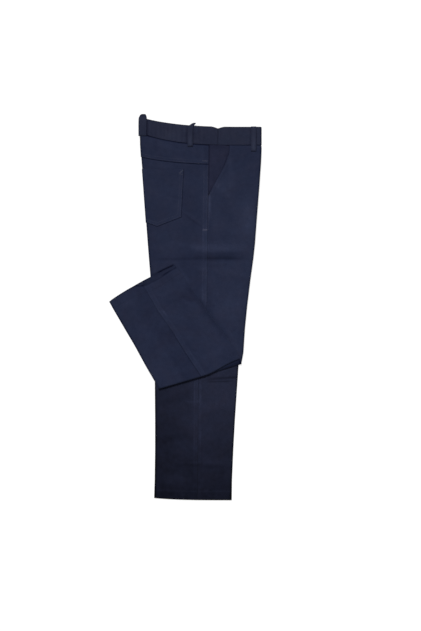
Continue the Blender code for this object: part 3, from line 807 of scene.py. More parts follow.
# Paler patches on the thigh: middle, reach across and up, and how pale
PalePatch = namedtuple("PalePatch", "x y wide high pale")
PALE_PATCHES = (
    PalePatch(109.7, 354.0, 5.0, 21.0, 0.28),
    PalePatch(118.0, 330.0, 7.0, 9.0, 0.1),
    PalePatch(111.6, 304.0, 11.0, 9.0, 0.24),
    PalePatch(78.3, 298.4, 8.0, 11.0, 0.26),
    PalePatch(96.0, 290.0, 10.0, 7.0, 0.16),
    PalePatch(106.2, 276.0, 7.0, 8.0, 0.18),
    PalePatch(60.5, 258.0, 3.2, 20.0, 0.42),
    PalePatch(70.0, 222.0, 5.0, 24.0, 0.06),
    PalePatch(160.0, 222.0, 16.0, 34.0, 0.22),
    PalePatch(128.0, 196.0, 34.0, 30.0, 0.1),
    PalePatch(-12.0, 160.0, 34.0, 9.0, 0.14),
    PalePatch(24.0, 150.0, 20.0, 8.0, 0.2),
    PalePatch(120.0, 20.0, 26.0, 44.0, 0.14),
    PalePatch(78.0, 36.0, 14.0, 12.0, 0.12),
)
# The front fold and the hem of the turned-up leg, as they lie on the thigh
FLAP_SIDE = ((-24.2, 105.0), (21.5, 32.9), (68.4, -28.9), (107.9, -82.5), (137.0, -134.0))
FLAP_HEM = ((-188.3, 14.2), (-24.2, 105.0))
FLAP_SIDE_SLOPE = 0.8    # its side slants, so a distance from it is this share of the distance across
HEM_CURL = 1.8           # how far the under ply of its hem curls up past the upper ply
FLAP_SUNK = 1.5          # how far the thigh gives way under the turned-up hem
THIGH_PUFF = Puff(0.3, 0.25, 36.0, 4.0, 14.0)
FLAP_PUFF = Puff(0.45, 0.3, 32.0, 9.0, 15.0)


def droop(x, y):
    """How far the turned-up leg has come down where it hangs past the back folds of both legs."""
    edge = min(read(RIGHT_THIGH, "back", y), read(LEFT_LEG, "back", y))
    full = RIGHT_LIFT + 2 * FLAT_PIVOT - LEG_DEEP
    return full * smooth((edge - x - FLAP_REST) / FLAP_DROOP)


def beside_flap(x, y):
    """How far a point of the thigh lies past the hem, and past the side, of the turned-up leg on it."""
    hem = Vector(FLAP_HEM[1]) - Vector(FLAP_HEM[0])
    over, up = x - FLAP_HEM[0][0], y - FLAP_HEM[0][1]
    along = min(max((over * hem.x + up * hem.y) / hem.length_squared, 0.0), 1.0)
    past_hem = (up * hem.x - over * hem.y) / hem.length - HEM_BOW * sin(pi * along)
    corner = Vector((x, y)) - Vector(FLAP_SIDE[0])
    past_side = corner.length if corner.x > 0 and corner.y > 0 else -FAR
    for one, two in zip(FLAP_SIDE, FLAP_SIDE[1:]):
        if two[1] <= y <= one[1]:
            share = (one[1] - y) / (one[1] - two[1])
            past_side = (x - one[0] - (two[0] - one[0]) * share) * FLAP_SIDE_SLOPE
    return past_hem, past_side


def thigh_row(level, **more):
    """A row across the right thigh."""
    back = Vector((read(RIGHT_THIGH, "back", level.back), level.back))
    front = Vector((read(RIGHT_THIGH, "front", level.front), level.front))
    outseam = (read(RIGHT_THIGH, "outseam", level.front) - back.x) / (front.x - back.x)
    return Row(back, front, outseam, THIGH_INSEAM, read(RISE, "back", level.back),
               read(RISE, "front", level.front), mouth=read(MOUTH, "wide", level.front), bow=level.bow,
               lift=read(RIGHT_THIGH, "lift", level.front), **more)


def turned_rows():
    """Rows round the fold at the knee, then along the turned-up leg to its hem."""
    rows = []
    for knee in KNEE_TURNS:
        rows.append(Row(Vector(KNEE_BACK), Vector(KNEE_FRONT), KNEE_OUTSEAM, KNEE_INSEAM, FAR, FAR,
                        bow=KNEE_BOW, lift=RIGHT_LIFT, turn=knee.turn, pivot=KNEE_BEND, kick=knee.kick))
    for flap in FLAP:
        rows.append(Row(Vector(flap.back), Vector(flap.front), flap.outseam, flap.inseam, FAR, FAR,
                        bow=flap.bow, lift=RIGHT_LIFT, turn=TURNED_OVER, pivot=flap.pivot, slip=flap.slip,
                        kick=flap.kick))
    return rows


def soft_read(table, column, at):
    """Reading of a column of a table with soft steps between its rows, and 0 beyond it."""
    for upper, lower in zip(table, table[1:]):
        if upper[0] >= at >= lower[0]:
            share = smooth((upper[0] - at) / (upper[0] - lower[0]))
            return getattr(upper, column) * (1 - share) + getattr(lower, column) * share
    return 0.0


def patch_paleness(x, y):
    """How much paler the thigh is made at a point."""
    pale = 0.0
    for patch in PALE_PATCHES:
        off = ((x - patch.x) / patch.wide) ** 2 + ((y - patch.y) / patch.high) ** 2
        pale += patch.pale * (1 - smooth(off ** 0.5 / 1.6))
    return pale * PATCH_STRENGTH * (1.0 + 0.9 * swell(x, y, 13.0, 17.0))


def under_flap(spot, past_hem, past_side):
    """How the thigh gives way, takes painted shade and bulges beside the turned-up leg that lies on it."""
    by_hem = smooth((past_hem + 6.0) / 4.0) * smooth((-26.0 - spot.x) / 7.0)
    sunk = FLAP_SUNK * by_hem * (1 - smooth((past_hem - 0.5) / 4.2))
    shaded = by_hem * (0.15 + 0.6 * smooth((spot.x + 74.0) / 12.0)) * (1 - smooth((past_hem - 0.9) / 3.8))
    by_side = smooth((past_side + 3.0) / 3.0)
    shaded += 0.1 * along_flap_side(spot.y) * by_side * (1 - smooth((past_side - 1.0) / 12.0))
    bulge = by_side * (1 - smooth(past_side / 17.0)) * smooth((96.0 - spot.y) / 36.0)
    bulge *= 0.6 + 2.0 * max(smooth((spot.y - 5.0) / 25.0), smooth((-70.0 - spot.y) / 30.0))
    return sunk, shaded, bulge


def outseam_relief(row, distance, spot):
    """Height, wear and painted shade behind and in front of the outseam, and along the mouth of the slant
    pocket.
    """
    seam, wear_and_shade = strip_relief(distance, spot.y) if distance > 0 else (0.0, 0.0)
    seam *= 1 - smooth((spot.y - 345.0) / 12.0)
    wear_and_shade *= read(STRIP_WEAR, "share", spot.y)
    if distance < 0 and row.mouth < MOUTH_CLOSED:
        seam -= 0.35 * (1 - smooth(-distance / 1.2))
        wear_and_shade += 0.22 * peak(distance + 3.0, 2.6) * smooth((spot.y - 205.0) / 20.0)
    mouth = -distance - row.mouth
    if row.mouth > MOUTH_CLOSED and mouth > 0.0:
        seam += 0.4 * (1 - smooth((mouth - 8.0) / 1.6)) - 0.25 * peak(mouth - 9.5, 1.5)
        lapped = 0.07 * smooth((mouth - 1.0) / 2.0) * (1 - smooth(mouth / 9.0))
        # painted shade along the mouth's edge; the front tucked under the band has most of the seam's painted
        # shade taken off again
        wear_and_shade += lapped - 0.12 * (1 - smooth(mouth / 1.6))
        wear_and_shade += 0.7 * SEAM_SHADE * smooth(-row.proud / SUNK_SHADED)
    return seam, wear_and_shade


def thigh_darkening(distance, y):
    """How much darker the thigh is made behind the outseam and by its front at the hip, and the painted shade
    on the front beside the outseam lower down.
    """
    behind = 0.07 * smooth(distance / 30.0)
    if distance > 0:
        return behind + 0.1 * smooth((y - 335.0) / 15.0) * (1 - smooth((distance - 8.0) / 6.0))
    behind += 0.07 * smooth((y - 318.0) / 24.0)
    return behind + 0.06 * (1 - smooth((-distance - 4.0) / 14.0)) * (1 - smooth((y - 215.0) / 20.0))


def thigh_relief(row, s, spot):
    """Relief, wear and painted light and shade of the outer side of the thigh: outseam strip, crease, pocket
    mouth and small folds.
    """
    wide = wide_of(row)
    past_hem, past_side = beside_flap(spot.x, spot.y)
    shows = smooth((max(past_hem, past_side) - 2.0) / 9.0)
    sunk, shaded, bulge = under_flap(spot, past_hem, past_side)
    distance = row.outseam * wide - s
    seam, wear_and_shade = outseam_relief(row, distance, spot)
    strength = read(CREASE_STRENGTH, "share", spot.x) * (1 + 0.25 * swell(spot.x, 0.0, 17.0, 18.0))
    small = folds(THIGH_FOLDS, spot.x, spot.y)
    crease = strength * soft_read(CREASE, "high", spot.y)
    # painted highlight on the crease's upper slope and painted shade in its trough
    creased = strength * soft_read(CREASE, "pale", spot.y)
    out = (seam + crease + puffed(THIGH_PUFF, s / wide, spot) + small) * shows + bulge - sunk
    wear_and_shade += patch_paleness(spot.x, spot.y) + creased + TROUGH_SHADE * small - thigh_darkening(distance, spot.y)
    return out * from_folds(row, s), wear_and_shade * shows - shaded


def flap_relief(row, s, spot):
    """Relief, wear and painted shade of the inner side of the turned-up leg: inseam strip, hem and small
    folds.
    """
    wide = wide_of(row)
    turned = smooth((row.turn - 100.0) / 70.0)
    distance = s - row.inseam * wide
    toward_knee = 0.35 + 0.65 * smooth((62.0 - spot.y) / 70.0)
    half_way = smooth((30.0 - spot.y) / 25.0) * smooth((spot.y + 30.0) / 25.0)
    if distance > 0:
        seam, wear_and_shade = strip_relief(distance, spot.x * 0.5 - spot.y)
        wear_and_shade *= 0.15 + 0.9 * half_way + 0.4 * toward_knee
    else:
        # in front of the seam: a ditch with painted shade in it
        ditch = (1 - smooth(-distance / 2.8)) * (0.2 + 0.5 * smooth((-62.0 - spot.y) / 30.0))
        seam, wear_and_shade = -0.9 * ditch, -0.3 * ditch
    hem, hem_wear_and_shade = hem_relief(row.hem, 0.0)
    small = folds(FLAP_FOLDS, spot.x, spot.y)
    puff = puffed(FLAP_PUFF, s / wide, spot)
    out = (seam + puff + small) * turned * from_folds(row, s) + hem
    beside = 0.08 * (1 - smooth((-distance - 30.0) / 20.0)) if distance < 0 else 0.0
    return out, (wear_and_shade + TROUGH_SHADE * small - 0.05 - beside) * turned + hem_wear_and_shade


def hem_curl(row, s):
    """How far the under ply of the turned-up hem curls up where the upper ply has slipped back from it."""
    return HEM_CURL * (1 - smooth((row.hem - 3.0) / 4.0)) * slipped(s / wide_of(row))


def right_relief(row, s, side, spot):
    """Relief of the right leg where it shows: outer side of the thigh, inner side of the turned-up part."""
    if side == "outer":
        if row.turn < 1.0:
            return thigh_relief(row, s, spot)
        # The ply that has slipped shows bare up to here, and past that, under the other, it carries painted
        # shade, as does its very edge.
        bare = FLAP[-1].slip * slipped(s / wide_of(row))
        hidden = smooth((row.hem - bare + 3.0) / 3.0)
        turned_in = SEAM_SHADE * smooth(-row.proud / SUNK_SHADED)
        edge = 0.2 * (1 - smooth(row.hem / 3.0))
        return -hem_curl(row, s), turned_in * (1 - hidden) - 0.1 - 0.25 * hidden - edge
    if row.turn > 90.0:
        out, wear_and_shade = flap_relief(row, s, spot)
        return out, wear_and_shade - KNEE_SHADE * (1 - smooth((row.turn - 100.0) / 45.0))
    # painted shade round the fold at the knee and on its ledge, less toward the front
    return 0.0, -KNEE_SHADE * smooth((row.turn - 15.0) / 25.0) * (1 - 0.5 * smooth((s - 145.0) / 40.0))


right_leg = Side(outer=LEG_DEEP - TWILL / 2, inner=TWILL / 2, sign=1.0, relief=right_relief, outer_columns=52,
                 inner_columns=38)
RIGHT_TUCK = 1.15        # how far it is sunk between the plies of the waistband
YOKE_PROUD = 0.65        # how far the edge of the yoke stands off the back panel
upper_twill = twill("upper_leg_twill", (0.0087, 0.0121, 0.0290), (0.0235, 0.031, 0.064))
thigh_levels = [HIP_LEVEL, THIGH_LEVEL] + [straight(y) for y in THIGH_HEIGHTS]
thigh_levels += [Level(-110.4, -88.2, 0.0), Level(-150.0, -112.0, 0.0)]
right_keys = [thigh_row(level) for level in thigh_levels] + turned_rows()
right_back_keys = under_yoke(thigh_row, YOKE_PROUD) + right_keys
right_front_keys = under_band(thigh_row, RIGHT_TUCK) + [thigh_row(YOKE_MIDDLE), thigh_row(YOKE_SEAM)]
right_front_keys += right_keys
right_yoke_keys = under_band(thigh_row, RIGHT_TUCK) + rolled_yoke(thigh_row, YOKE_PROUD)
right_back = leg_piece("right_back", right_leg, turned_hem(right_back_keys), "back", upper_twill,
                       "right_back_panel")
right_front = leg_piece("right_front", right_leg, turned_hem(right_front_keys), "front", upper_twill,
                        "right_front_panel")
right_yoke = leg_piece("right_back_yoke", right_leg, between_rows(right_yoke_keys), "back", upper_twill,
                       "right_yoke")

# Slant pocket: the pocket facing, of the same twill, which shows between the outseam and the slanted mouth of
# the right front. It is sewn into the outseam and the waistband, and dips under the edge of the front.
FACING_DIP = 1.0         # how far it dips under the edge of the front
FACING_UNDER = 6.0       # how far it runs on under the front
FACING_COLUMNS = 14


def facing_rows():
    """Points and painted shade of the facing, from the outseam to under the edge of the front."""
    keys = under_band(thigh_row, RIGHT_TUCK)
    keys += [thigh_row(level) for level in (YOKE_MIDDLE, YOKE_SEAM, HIP_LEVEL, THIGH_LEVEL, straight(281.0),
                                            straight(273.5))]
    grid = []
    for row in between_rows(keys):
        seam_at = row.outseam * wide_of(row) + SEAM / 2
        wide = row.mouth + FACING_UNDER - SEAM / 2
        line = turned_under(right_leg, row, seam_at, 1.0, min(TURNED_UNDER, wide / 2), PLY / 2, "outer")
        dip_from = max(row.mouth - 14.0, 0.35 * row.mouth)
        for s in steps(0.8, wide, FACING_COLUMNS):
            dip = FACING_DIP * smooth((s - dip_from) / max(row.mouth - 2.0 - dip_from, 0.6))
            soft = 0.2 * swell(s, row.back.y, 14.0, 6.0) * smooth(s / 6.0)
            # painted shade where it runs in under the front's edge, along the outseam, under the band and low
            # down
            in_mouth = 0.3 * smooth((s - row.mouth + 3.0) / 3.0)
            in_seam = 0.3 * (1 - smooth((s - 0.5) / 2.5))
            spot = side_at(right_leg, row, seam_at + s, "outer", dip - soft)[0]
            shade = 0.1 * smooth((spot.y - 388.0) / 10.0) + 0.05 * smooth((362.0 - spot.y) / 14.0)
            line.append((spot, -shade - in_mouth - in_seam))
        grid.append(line)
    return grid


# a darker copy of the same twill: painted shade for the facing lying under the front's edge
facing_twill = twill("pocket_facing_twill", (0.0080, 0.0098, 0.0242), (0.0240, 0.029, 0.062), fade=0.6)
facing = cloth_piece("slant_pocket_facing", facing_rows(), facing_twill, "right_pocket_facing")

# Patch pocket: a five-sided patch on the right back, wrapped round the centre back fold, its edges turned in
# and its top hemmed. It lies on the back panel, so it takes the panel's own surface and stands off it.
POCKET_TOP = 341.0
POCKET_CORNER = 222.3
POCKET_POINT = 199.1
POCKET_POINT_IN = 26.0   # how far in from the centre back fold its point lies
POCKET_SIDE_TOP = 102.5  # and its side, at the top and at the bottom
POCKET_SIDE_LOW = 87.5
POCKET_ROUND_TOP = 16.0  # how far it reaches round the fold, at the top and at the bottom
POCKET_ROUND_LOW = 30.0
POCKET_SLOPE = 0.93      # its bottom slants, so a distance from it is this share of the distance down
POCKET_BEND = 2.0        # where its outer side starts to go round the fold
POCKET_HEM = 15.0        # depth of the hem along its top
POCKET_TURN = 9.5        # width of the edges turned in at its sides and bottom
POCKET_FOLD = -1.2       # where it goes round the fold, outside the back panel
POCKET_STAND = 0.68      # how far its cloth stands off the panel
POCKET_PLY = 0.42        # and how much more where its edge is turned in
POCKET_EDGES = (0.0, 0.7, 1.8, 3.4, 5.5, 7.6, 9.0, 10.2, 12.0)
POCKET_FOLDS = (Fold(-44.0, 273.5, -14.0, 266.0, 2.0, -0.8),)


def rim_high(from_edge, turn):
    """How far the pocket stands off the panel at a distance from its edge: two plies, then one."""
    turned_ply = 1 - smooth((from_edge - turn + 0.8) / 1.6)
    round_edge = 1 - smooth(from_edge / 1.1)
    return POCKET_STAND + POCKET_PLY * turned_ply - 0.5 * round_edge


def pocket_side(down):
    """How far in its side lies, a share of the way down."""
    return part_way(POCKET_SIDE_TOP, POCKET_SIDE_LOW, down)


def pocket_point_in(down):
    """How far in the line down to its point lies, a share of the way down."""
    return POCKET_POINT_IN + (POCKET_SIDE_TOP - POCKET_SIDE_LOW) * (1 - down)


def pocket_round(down):
    """How far it reaches round the fold, a share of the way down."""
    return part_way(POCKET_ROUND_TOP, POCKET_ROUND_LOW, down)


def pocket_at(along, down):
    """A point of the pocket, in along the cloth from the centre back fold and a share down, and its wear."""
    off_point = abs(along - pocket_point_in(down)) / (POCKET_SIDE_LOW - POCKET_POINT_IN)
    low = part_way(POCKET_POINT, POCKET_CORNER, min(off_point, 1.0))
    y = part_way(POCKET_TOP, low, down)
    row = thigh_row(straight(y))
    back = read(RIGHT_THIGH, "back", y)
    sides = pocket_side(down) - along if along > 0 else pocket_round(down) + along
    bottom = (y - low) * POCKET_SLOPE
    top = POCKET_TOP - y
    stand = min(rim_high(min(sides, bottom), POCKET_TURN), rim_high(top, POCKET_HEM) + 0.1)
    stand = max(stand, 0.18)
    edge = min(sides, bottom, top)
    soft = 0.22 * swell(back + along, y, 26.0, 12.0) * smooth(edge / 14.0)
    # paler over its turned-in edges, with painted shade right along its sides and bottom and lightly along
    # its top
    wear_and_shade = 0.05 * (1 - smooth((min(sides, bottom) - POCKET_TURN) / 2.0)) - 0.04
    wear_and_shade -= 0.6 * (1 - smooth(min(sides, bottom) / 1.4)) + 0.12 * (1 - smooth(top / 1.3))
    crossed = folds(POCKET_FOLDS, back + along, y)
    if along > POCKET_FOLD + 2.0:
        relief = thigh_relief(row, along, Vector((back + along, y)))[0]
        panel_high = place(row, along, right_leg.outer).z + relief
        return Vector((back + along, y, panel_high + stand + soft + crossed)), wear_and_shade
    return Vector((back - along, y, place(row, 0.0, right_leg.inner).z - stand)), wear_and_shade


def pocket_rows():
    """Points, wear and painted shade of the pocket: outer side, round the fold, inner side, for rows from top
    to bottom.
    """
    high = POCKET_TOP - POCKET_POINT
    downs = [edge / high for edge in POCKET_EDGES] + [14.5 / high, 16.0 / high]
    downs += steps(20.0 / high, 1 - 16.0 / high, 38) + [1 - edge / high for edge in POCKET_EDGES[::-1]]
    reach = POCKET_BEND - POCKET_FOLD
    grid = []
    for down in downs:
        side_x = pocket_side(down)
        point_in = pocket_point_in(down)
        outer = [side_x - edge for edge in POCKET_EDGES] + steps(side_x - 15.0, point_in + 3.0, 22)
        outer += steps(point_in, 3.2, 9) + [POCKET_BEND]
        inner = [-POCKET_BEND] + steps(-5.0, -pocket_round(down), 6)
        line = [pocket_at(along, down) for along in outer]
        inner_line = [pocket_at(along, down) for along in inner]
        first, last = line[-1][0], inner_line[0][0]
        middle, deep = (first.z + last.z) / 2, (first.z - last.z) / 2
        for angle in steps(0.0, pi, 8)[1:-1]:
            y = part_way(first.y, last.y, angle / pi)
            x = read(RIGHT_THIGH, "back", y) + POCKET_BEND - reach * sin(angle)
            line.append((Vector((x, y, middle + deep * cos(angle))), -EDGE_SHADE))
        grid.append(line + inner_line)
    return grid


patch_pocket = cloth_piece("back_patch_pocket", pocket_rows(), upper_twill, "right_patch_pocket")

# Waistband: twill folded double, its top edge the fold. The back of it holds elastic, which gathers it in
# narrow upright puckers, and its two fronts are plain. Seams join them a little in front of the side.
BAND_HIGH_FACE = 6.8     # upper face of the band as it lies, with the lower face on the surface
BAND_HIGH = 40.0         # from its seam to its top edge
BAND_DEEP = 2.1          # from its outer ply to its inner ply
BAND_TURN = 0.32         # radius of the edge turned in along its seam
ELASTIC_END = 82.0
BAND_SAG = 4.6           # how far its top edge sags where the elastic ends
# painted shade at the joins between the back and the fronts
JOIN_SHADE = 0.12
BAND_TUCKED = 0.5        # how far its ends are sunk at the joins
# Where the belt loops' edges cast painted shade on the band
LoopEdge = namedtuple("LoopEdge", "x reach shade")
LOOP_EDGES = (LoopEdge(-95.0, 7.0, 0.3), LoopEdge(5.0, 4.0, 0.14), LoopEdge(19.0, 3.0, 0.12),
              LoopEdge(161.5, 3.0, 0.14), LoopEdge(176.0, 3.0, 0.12))
GATHERS = 13
GATHER_DEEP = 0.75
GATHERED_FROM = 0.1      # the gathers lie between these shares of the way from centre back to the join
GATHERED_TO = 0.9
CENTRE_GAP = 0.45        # half the gap between the two fronts at the centre front fold


def band_row(share):
    """A row along the waistband, from its seam at 0 to its top edge at 1."""
    level = Level(*(part_way(low, high, share) for low, high in zip(BAND_SEAM, BAND_TOP)))
    return thigh_row(level)._replace(lift=0.0)


def band_profile():
    """Up the outer ply, over the top edge and down the inner ply: share of the height, and how far in."""
    profile = [(2.0 / BAND_HIGH, 2 * BAND_TURN)]
    profile += [(back / BAND_HIGH, down) for back, down in rolled(BAND_TURN, pi, 0.0, 4)]
    profile += [(distance / BAND_HIGH, 0.0) for distance in (0.9, 2.2, 3.4, 5.5, 8.5)]
    profile += [(share, 0.0) for share in steps(0.29, 0.91, 9)]
    profile += [(1 - back / BAND_HIGH, down) for back, down in rolled(BAND_DEEP / 2, 0.0, pi, 6)]
    return profile + [(share, BAND_DEEP) for share in steps(0.92, 0.02, 8)]


def gather(place_in, share):
    """How far the elastic pulls the cloth in, along the gathered band from 0 to 1 and up it."""
    uneven = place_in + 0.03 * sin(9 * place_in) + 0.006 * sin(41 * place_in + 2 * share)
    main = sin(pi * GATHERS * uneven) ** 2 * (0.65 + 0.8 * swell(place_in * 60.0, share * 3.0, 5.0, 13.0))
    fine = 0.5 + 0.5 * swell(place_in * 150.0, share * 12.0, 5.0, 3.0)
    ends = smooth(min(place_in, 1 - place_in) * 12)
    fullest_half_way_up = 0.45 + 0.55 * sin(pi * share)
    return GATHER_DEEP * fullest_half_way_up * (0.85 * main + 0.12 * fine) * ends


def band_spot(row, share, tuck, s, side, dip=0.0):
    """A point of the band on its upper or its lower side, tucked in by so much."""
    high = BAND_HIGH_FACE - TWILL / 2 - tuck - dip
    spot = place(row, s, high)
    if side == "lower":
        spot.z = BAND_HIGH_FACE - high
    sag = BAND_SAG * peak(spot.x - ELASTIC_END + 1.5, 17.0) ** 1.4
    spot.y -= sag * smooth((share - 0.2) / 0.8)
    return spot


def beside_loops(x):
    """How much painted shade darkens the band beside the edges of the belt loops."""
    return max(edge.shade * peak(x - edge.x, edge.reach) for edge in LOOP_EDGES)


def band_edge(share, tuck):
    """Painted shade along the turned edges of the band: at the seam and round the top."""
    return -SEAM_SHADE * smooth(tuck / 0.3) - EDGE_SHADE * smooth((share - 0.965) / 0.03)


def gathered_rows():
    """Points, wear and painted shade of the back of the band, from its upper join round centre back to its
    lower join.
    """
    radius = (BAND_HIGH_FACE - TWILL) / 2
    grid = []
    for share, tuck in band_profile():
        row = band_row(share)
        join = ELASTIC_END - row.back.x
        first, last = GATHERED_FROM * join, GATHERED_TO * join
        line = [(band_spot(row, share, tuck + BAND_TUCKED, join - 0.4, "upper"), 0.1)]
        for s in [join - 0.1, join - 1.0] + steps(join - 3.0, radius + 1.0, 150):
            place_in = (last - s) / (last - first)
            inside = 0.0 < place_in < 1.0
            dip = gather(place_in, share) if inside else 0.0
            # gathers: ridges a little paler, troughs with painted shade
            ridge = 0.06 - 0.10 * dip / GATHER_DEEP if inside else 0.03
            wear_and_shade = ridge + band_edge(share, tuck) - JOIN_SHADE * peak(join - s, 2.0)
            wear_and_shade -= beside_loops(row.back.x + s)
            line.append((band_spot(row, share, tuck, s, "upper", dip), wear_and_shade))
        deep = radius - tuck
        for angle in steps(0.0, pi, 12)[1:-1]:
            s = radius + 1.0 - (deep + 1.0) * sin(angle)
            line.append((place(row, s, BAND_HIGH_FACE / 2 + deep * cos(angle)), -EDGE_SHADE))
        for s in steps(radius + 1.0, join - 3.0, 110) + [join - 1.0, join - 0.1]:
            place_in = (s - first) / (last - first)
            dip = gather(place_in, share) if 0.0 < place_in < 1.0 else 0.0
            line.append((band_spot(row, share, tuck, s, "lower", dip), 0.12))
        line.append((band_spot(row, share, tuck + BAND_TUCKED, join - 0.4, "lower"), 0.1))
        grid.append(line)
    return grid


def plain_rows(side):
    """Points, wear and painted shade of a plain front of the band, from the join to the centre front fold."""
    radius = (BAND_HIGH_FACE - TWILL) / 2
    grid = []
    for share, tuck in band_profile():
        row = band_row(share)
        wide = wide_of(row)
        join = ELASTIC_END - row.back.x + SEAM
        line = [(band_spot(row, share, tuck + BAND_TUCKED, join + 0.4, side), 0.1)]
        for s in [join + 0.1, join + 1.0] + steps(join + 3.0, wide - radius - 1.0, 34):
            pucker = 0.6 * peak(s - join, 16.0) * sin(0.8 * (s - join) + 2 * share) ** 2
            soft = 0.3 * swell(s, share * 30.0, 14.0, 8.0)
            wear_and_shade = 0.03 + band_edge(share, tuck) - JOIN_SHADE * peak(s - join, 2.0)
            wear_and_shade -= beside_loops(row.back.x + s)
            line.append((band_spot(row, share, tuck, s, side, pucker - min(soft, 0.0)), wear_and_shade))
        deep = radius - tuck
        for angle in steps(0.0, pi / 2 - CENTRE_GAP / radius, 6)[1:]:
            spot = place(row, wide - radius - 1.0 + (deep + 1.0) * sin(angle),
                         BAND_HIGH_FACE / 2 + deep * cos(angle))
            if side == "lower":
                spot.z = BAND_HIGH_FACE - spot.z
            line.append((spot, -EDGE_SHADE))
        grid.append(line)
    return grid


BAND_NAVY = (0.0086, 0.0110, 0.0243)
BAND_WORN = (0.024, 0.030, 0.055)
band_twill = twill("band_twill", BAND_NAVY, BAND_WORN)
elastic_twill = twill("elastic_band_twill", (0.0083, 0.0105, 0.0235), BAND_WORN, fade=0.7)
gathered_band = cloth_piece("waistband_elastic_back", gathered_rows(), elastic_twill, "waistband_back")
right_band = cloth_piece("waistband_right_front", plain_rows("upper"), band_twill, "waistband_front_right")
left_band = cloth_piece("waistband_left_front", plain_rows("lower"), band_twill, "waistband_front_left")

# Belt loops: strips of twill folded in three and stitched along both edges, sewn on below the band and at its
# top edge. The one at centre back goes round the fold and turns over the top edge into the band.
LOOP_CLOTH = 1.0
LOOP_STITCHES = 0.17     # share of a loop's width from its edge to its stitching
LOOP_GROOVE = 0.2        # how deep its stitching sinks
# A level across a loop: height up the garment, height off the table, its two sides, how far the left one
# drops, and how pale the middle is made; below 0 that is painted shade where the loop bends over the band's
# top edge.
Strip = namedtuple("Strip", "y z left right drop pale")
CENTRE_BACK_LOOP = (
    Strip(423.0, 7.3, -115.5, -96.0, 2.6, 0.0),
    Strip(432.0, 7.6, -115.6, -95.8, 2.6, 0.02),
    Strip(449.0, 7.5, -115.7, -95.6, 2.6, 0.02),
    Strip(461.0, 7.5, -115.5, -95.2, 2.4, 0.06),
    Strip(467.0, 7.5, -115.0, -95.0, 1.8, 0.1),
    Strip(472.8, 6.8, -112.6, -96.2, 0.8, -0.2),
    Strip(476.6, 5.4, -108.6, -98.6, 0.2, -0.45),
    Strip(475.6, 4.2, -106.0, -99.2, 0.0, -0.2),
    Strip(463.0, 3.4, -105.5, -98.5, 0.0, -0.2),
)
SIDE_BACK_LOOP = (
    Strip(396.9, 8.3, 5.6, 18.4, 0.0, 0.1),
    Strip(400.0, 8.5, 5.6, 18.4, 0.0, 0.25),
    Strip(406.0, 9.0, 5.5, 18.5, 0.0, 0.3),
    Strip(418.0, 8.9, 5.5, 18.5, 0.0, 0.2),
    Strip(432.0, 8.2, 5.6, 18.6, 0.0, 0.02),
    Strip(444.0, 7.7, 6.4, 19.4, 0.0, 0.0),
    Strip(450.5, 7.4, 12.0, 23.2, 0.0, 0.05),
    Strip(454.0, 6.6, 17.5, 26.0, 0.0, -0.1),
    Strip(455.2, 5.4, 20.0, 26.6, 0.0, -0.2),
)
FRONT_LOOP = (
    Strip(385.1, 8.2, 162.2, 175.0, 0.0, 0.1),
    Strip(388.0, 8.4, 162.2, 175.0, 0.0, 0.3),
    Strip(394.0, 8.8, 162.2, 175.2, 0.0, 0.35),
    Strip(414.0, 8.8, 162.3, 175.3, 0.0, 0.25),
    Strip(432.0, 8.2, 162.4, 175.4, 0.0, 0.1),
    Strip(443.0, 7.6, 162.4, 175.4, 0.0, 0.1),
    Strip(446.2, 6.5, 162.6, 175.2, 0.0, 0.0),
)
LOOP_SHARES = (0.0, 0.03, 0.08, 0.13, LOOP_STITCHES, 0.22, 0.3, 0.42, 0.5, 0.58, 0.7, 0.78, 1 - LOOP_STITCHES,
               0.87, 0.92, 0.97, 1.0)
LOOP_STEP = 2.0
LOOP_STEP_UP = 0.6


def curve_through(before, one, two, after, share):
    """Catmull-Rom value between one and two."""
    bend = share * share
    return 0.5 * (2 * one + (two - before) * share + (2 * before - 5 * one + 4 * two - after) * bend
                  + (3 * one - before - 3 * two + after) * bend * share)


def loop_rows(strips, rim_shade=0.3):
    """Points, paleness and painted shade of a belt loop, bent smoothly through its strips, with painted shade
    of rim_shade along its edges.
    """
    ends = [strips[0]] + list(strips) + [strips[-1]]
    smooth_strips = [strips[0]]
    for before, one, two, after in zip(ends, ends[1:], ends[2:], ends[3:]):
        count = max(2, ceil(abs(two.y - one.y) / LOOP_STEP), ceil(abs(two.z - one.z) / LOOP_STEP_UP))
        for part in range(1, count + 1):
            smooth_strips.append(Strip(*(curve_through(*values, part / count)
                                         for values in zip(before, one, two, after))))
    grid = []
    for strip in smooth_strips:
        line = []
        for share in LOOP_SHARES:
            from_edge = min(share, 1 - share)
            groove = LOOP_GROOVE * peak(from_edge - LOOP_STITCHES, 0.05)
            round_edge = 0.25 * (1 - smooth(from_edge / 0.08))
            drop = strip.drop * (1 - smooth((share + 0.02) / 0.4)) ** 1.5
            middle = smooth(1 - abs(share - 0.5) / 0.36)
            rim = 1 - smooth(from_edge / 0.07)
            x = part_way(strip.left, strip.right, share)
            line.append((Vector((x, strip.y, strip.z - drop - groove - round_edge)),
                         strip.pale * (0.4 + 0.6 * middle) - rim_shade * rim))
        grid.append(line)
    return grid


loop_twill = twill("belt_loop_twill", BAND_NAVY, BAND_WORN)
back_loop = cloth_piece("belt_loop_back", loop_rows(CENTRE_BACK_LOOP, 0.12), loop_twill,
                        "belt_loop_centre_back", LOOP_CLOTH)
side_loop = cloth_piece("belt_loop_side", loop_rows(SIDE_BACK_LOOP), loop_twill, "belt_loop_side_back",
                        LOOP_CLOTH)
front_loop = cloth_piece("belt_loop_by_front", loop_rows(FRONT_LOOP), loop_twill, "belt_loop_front",
                         LOOP_CLOTH)

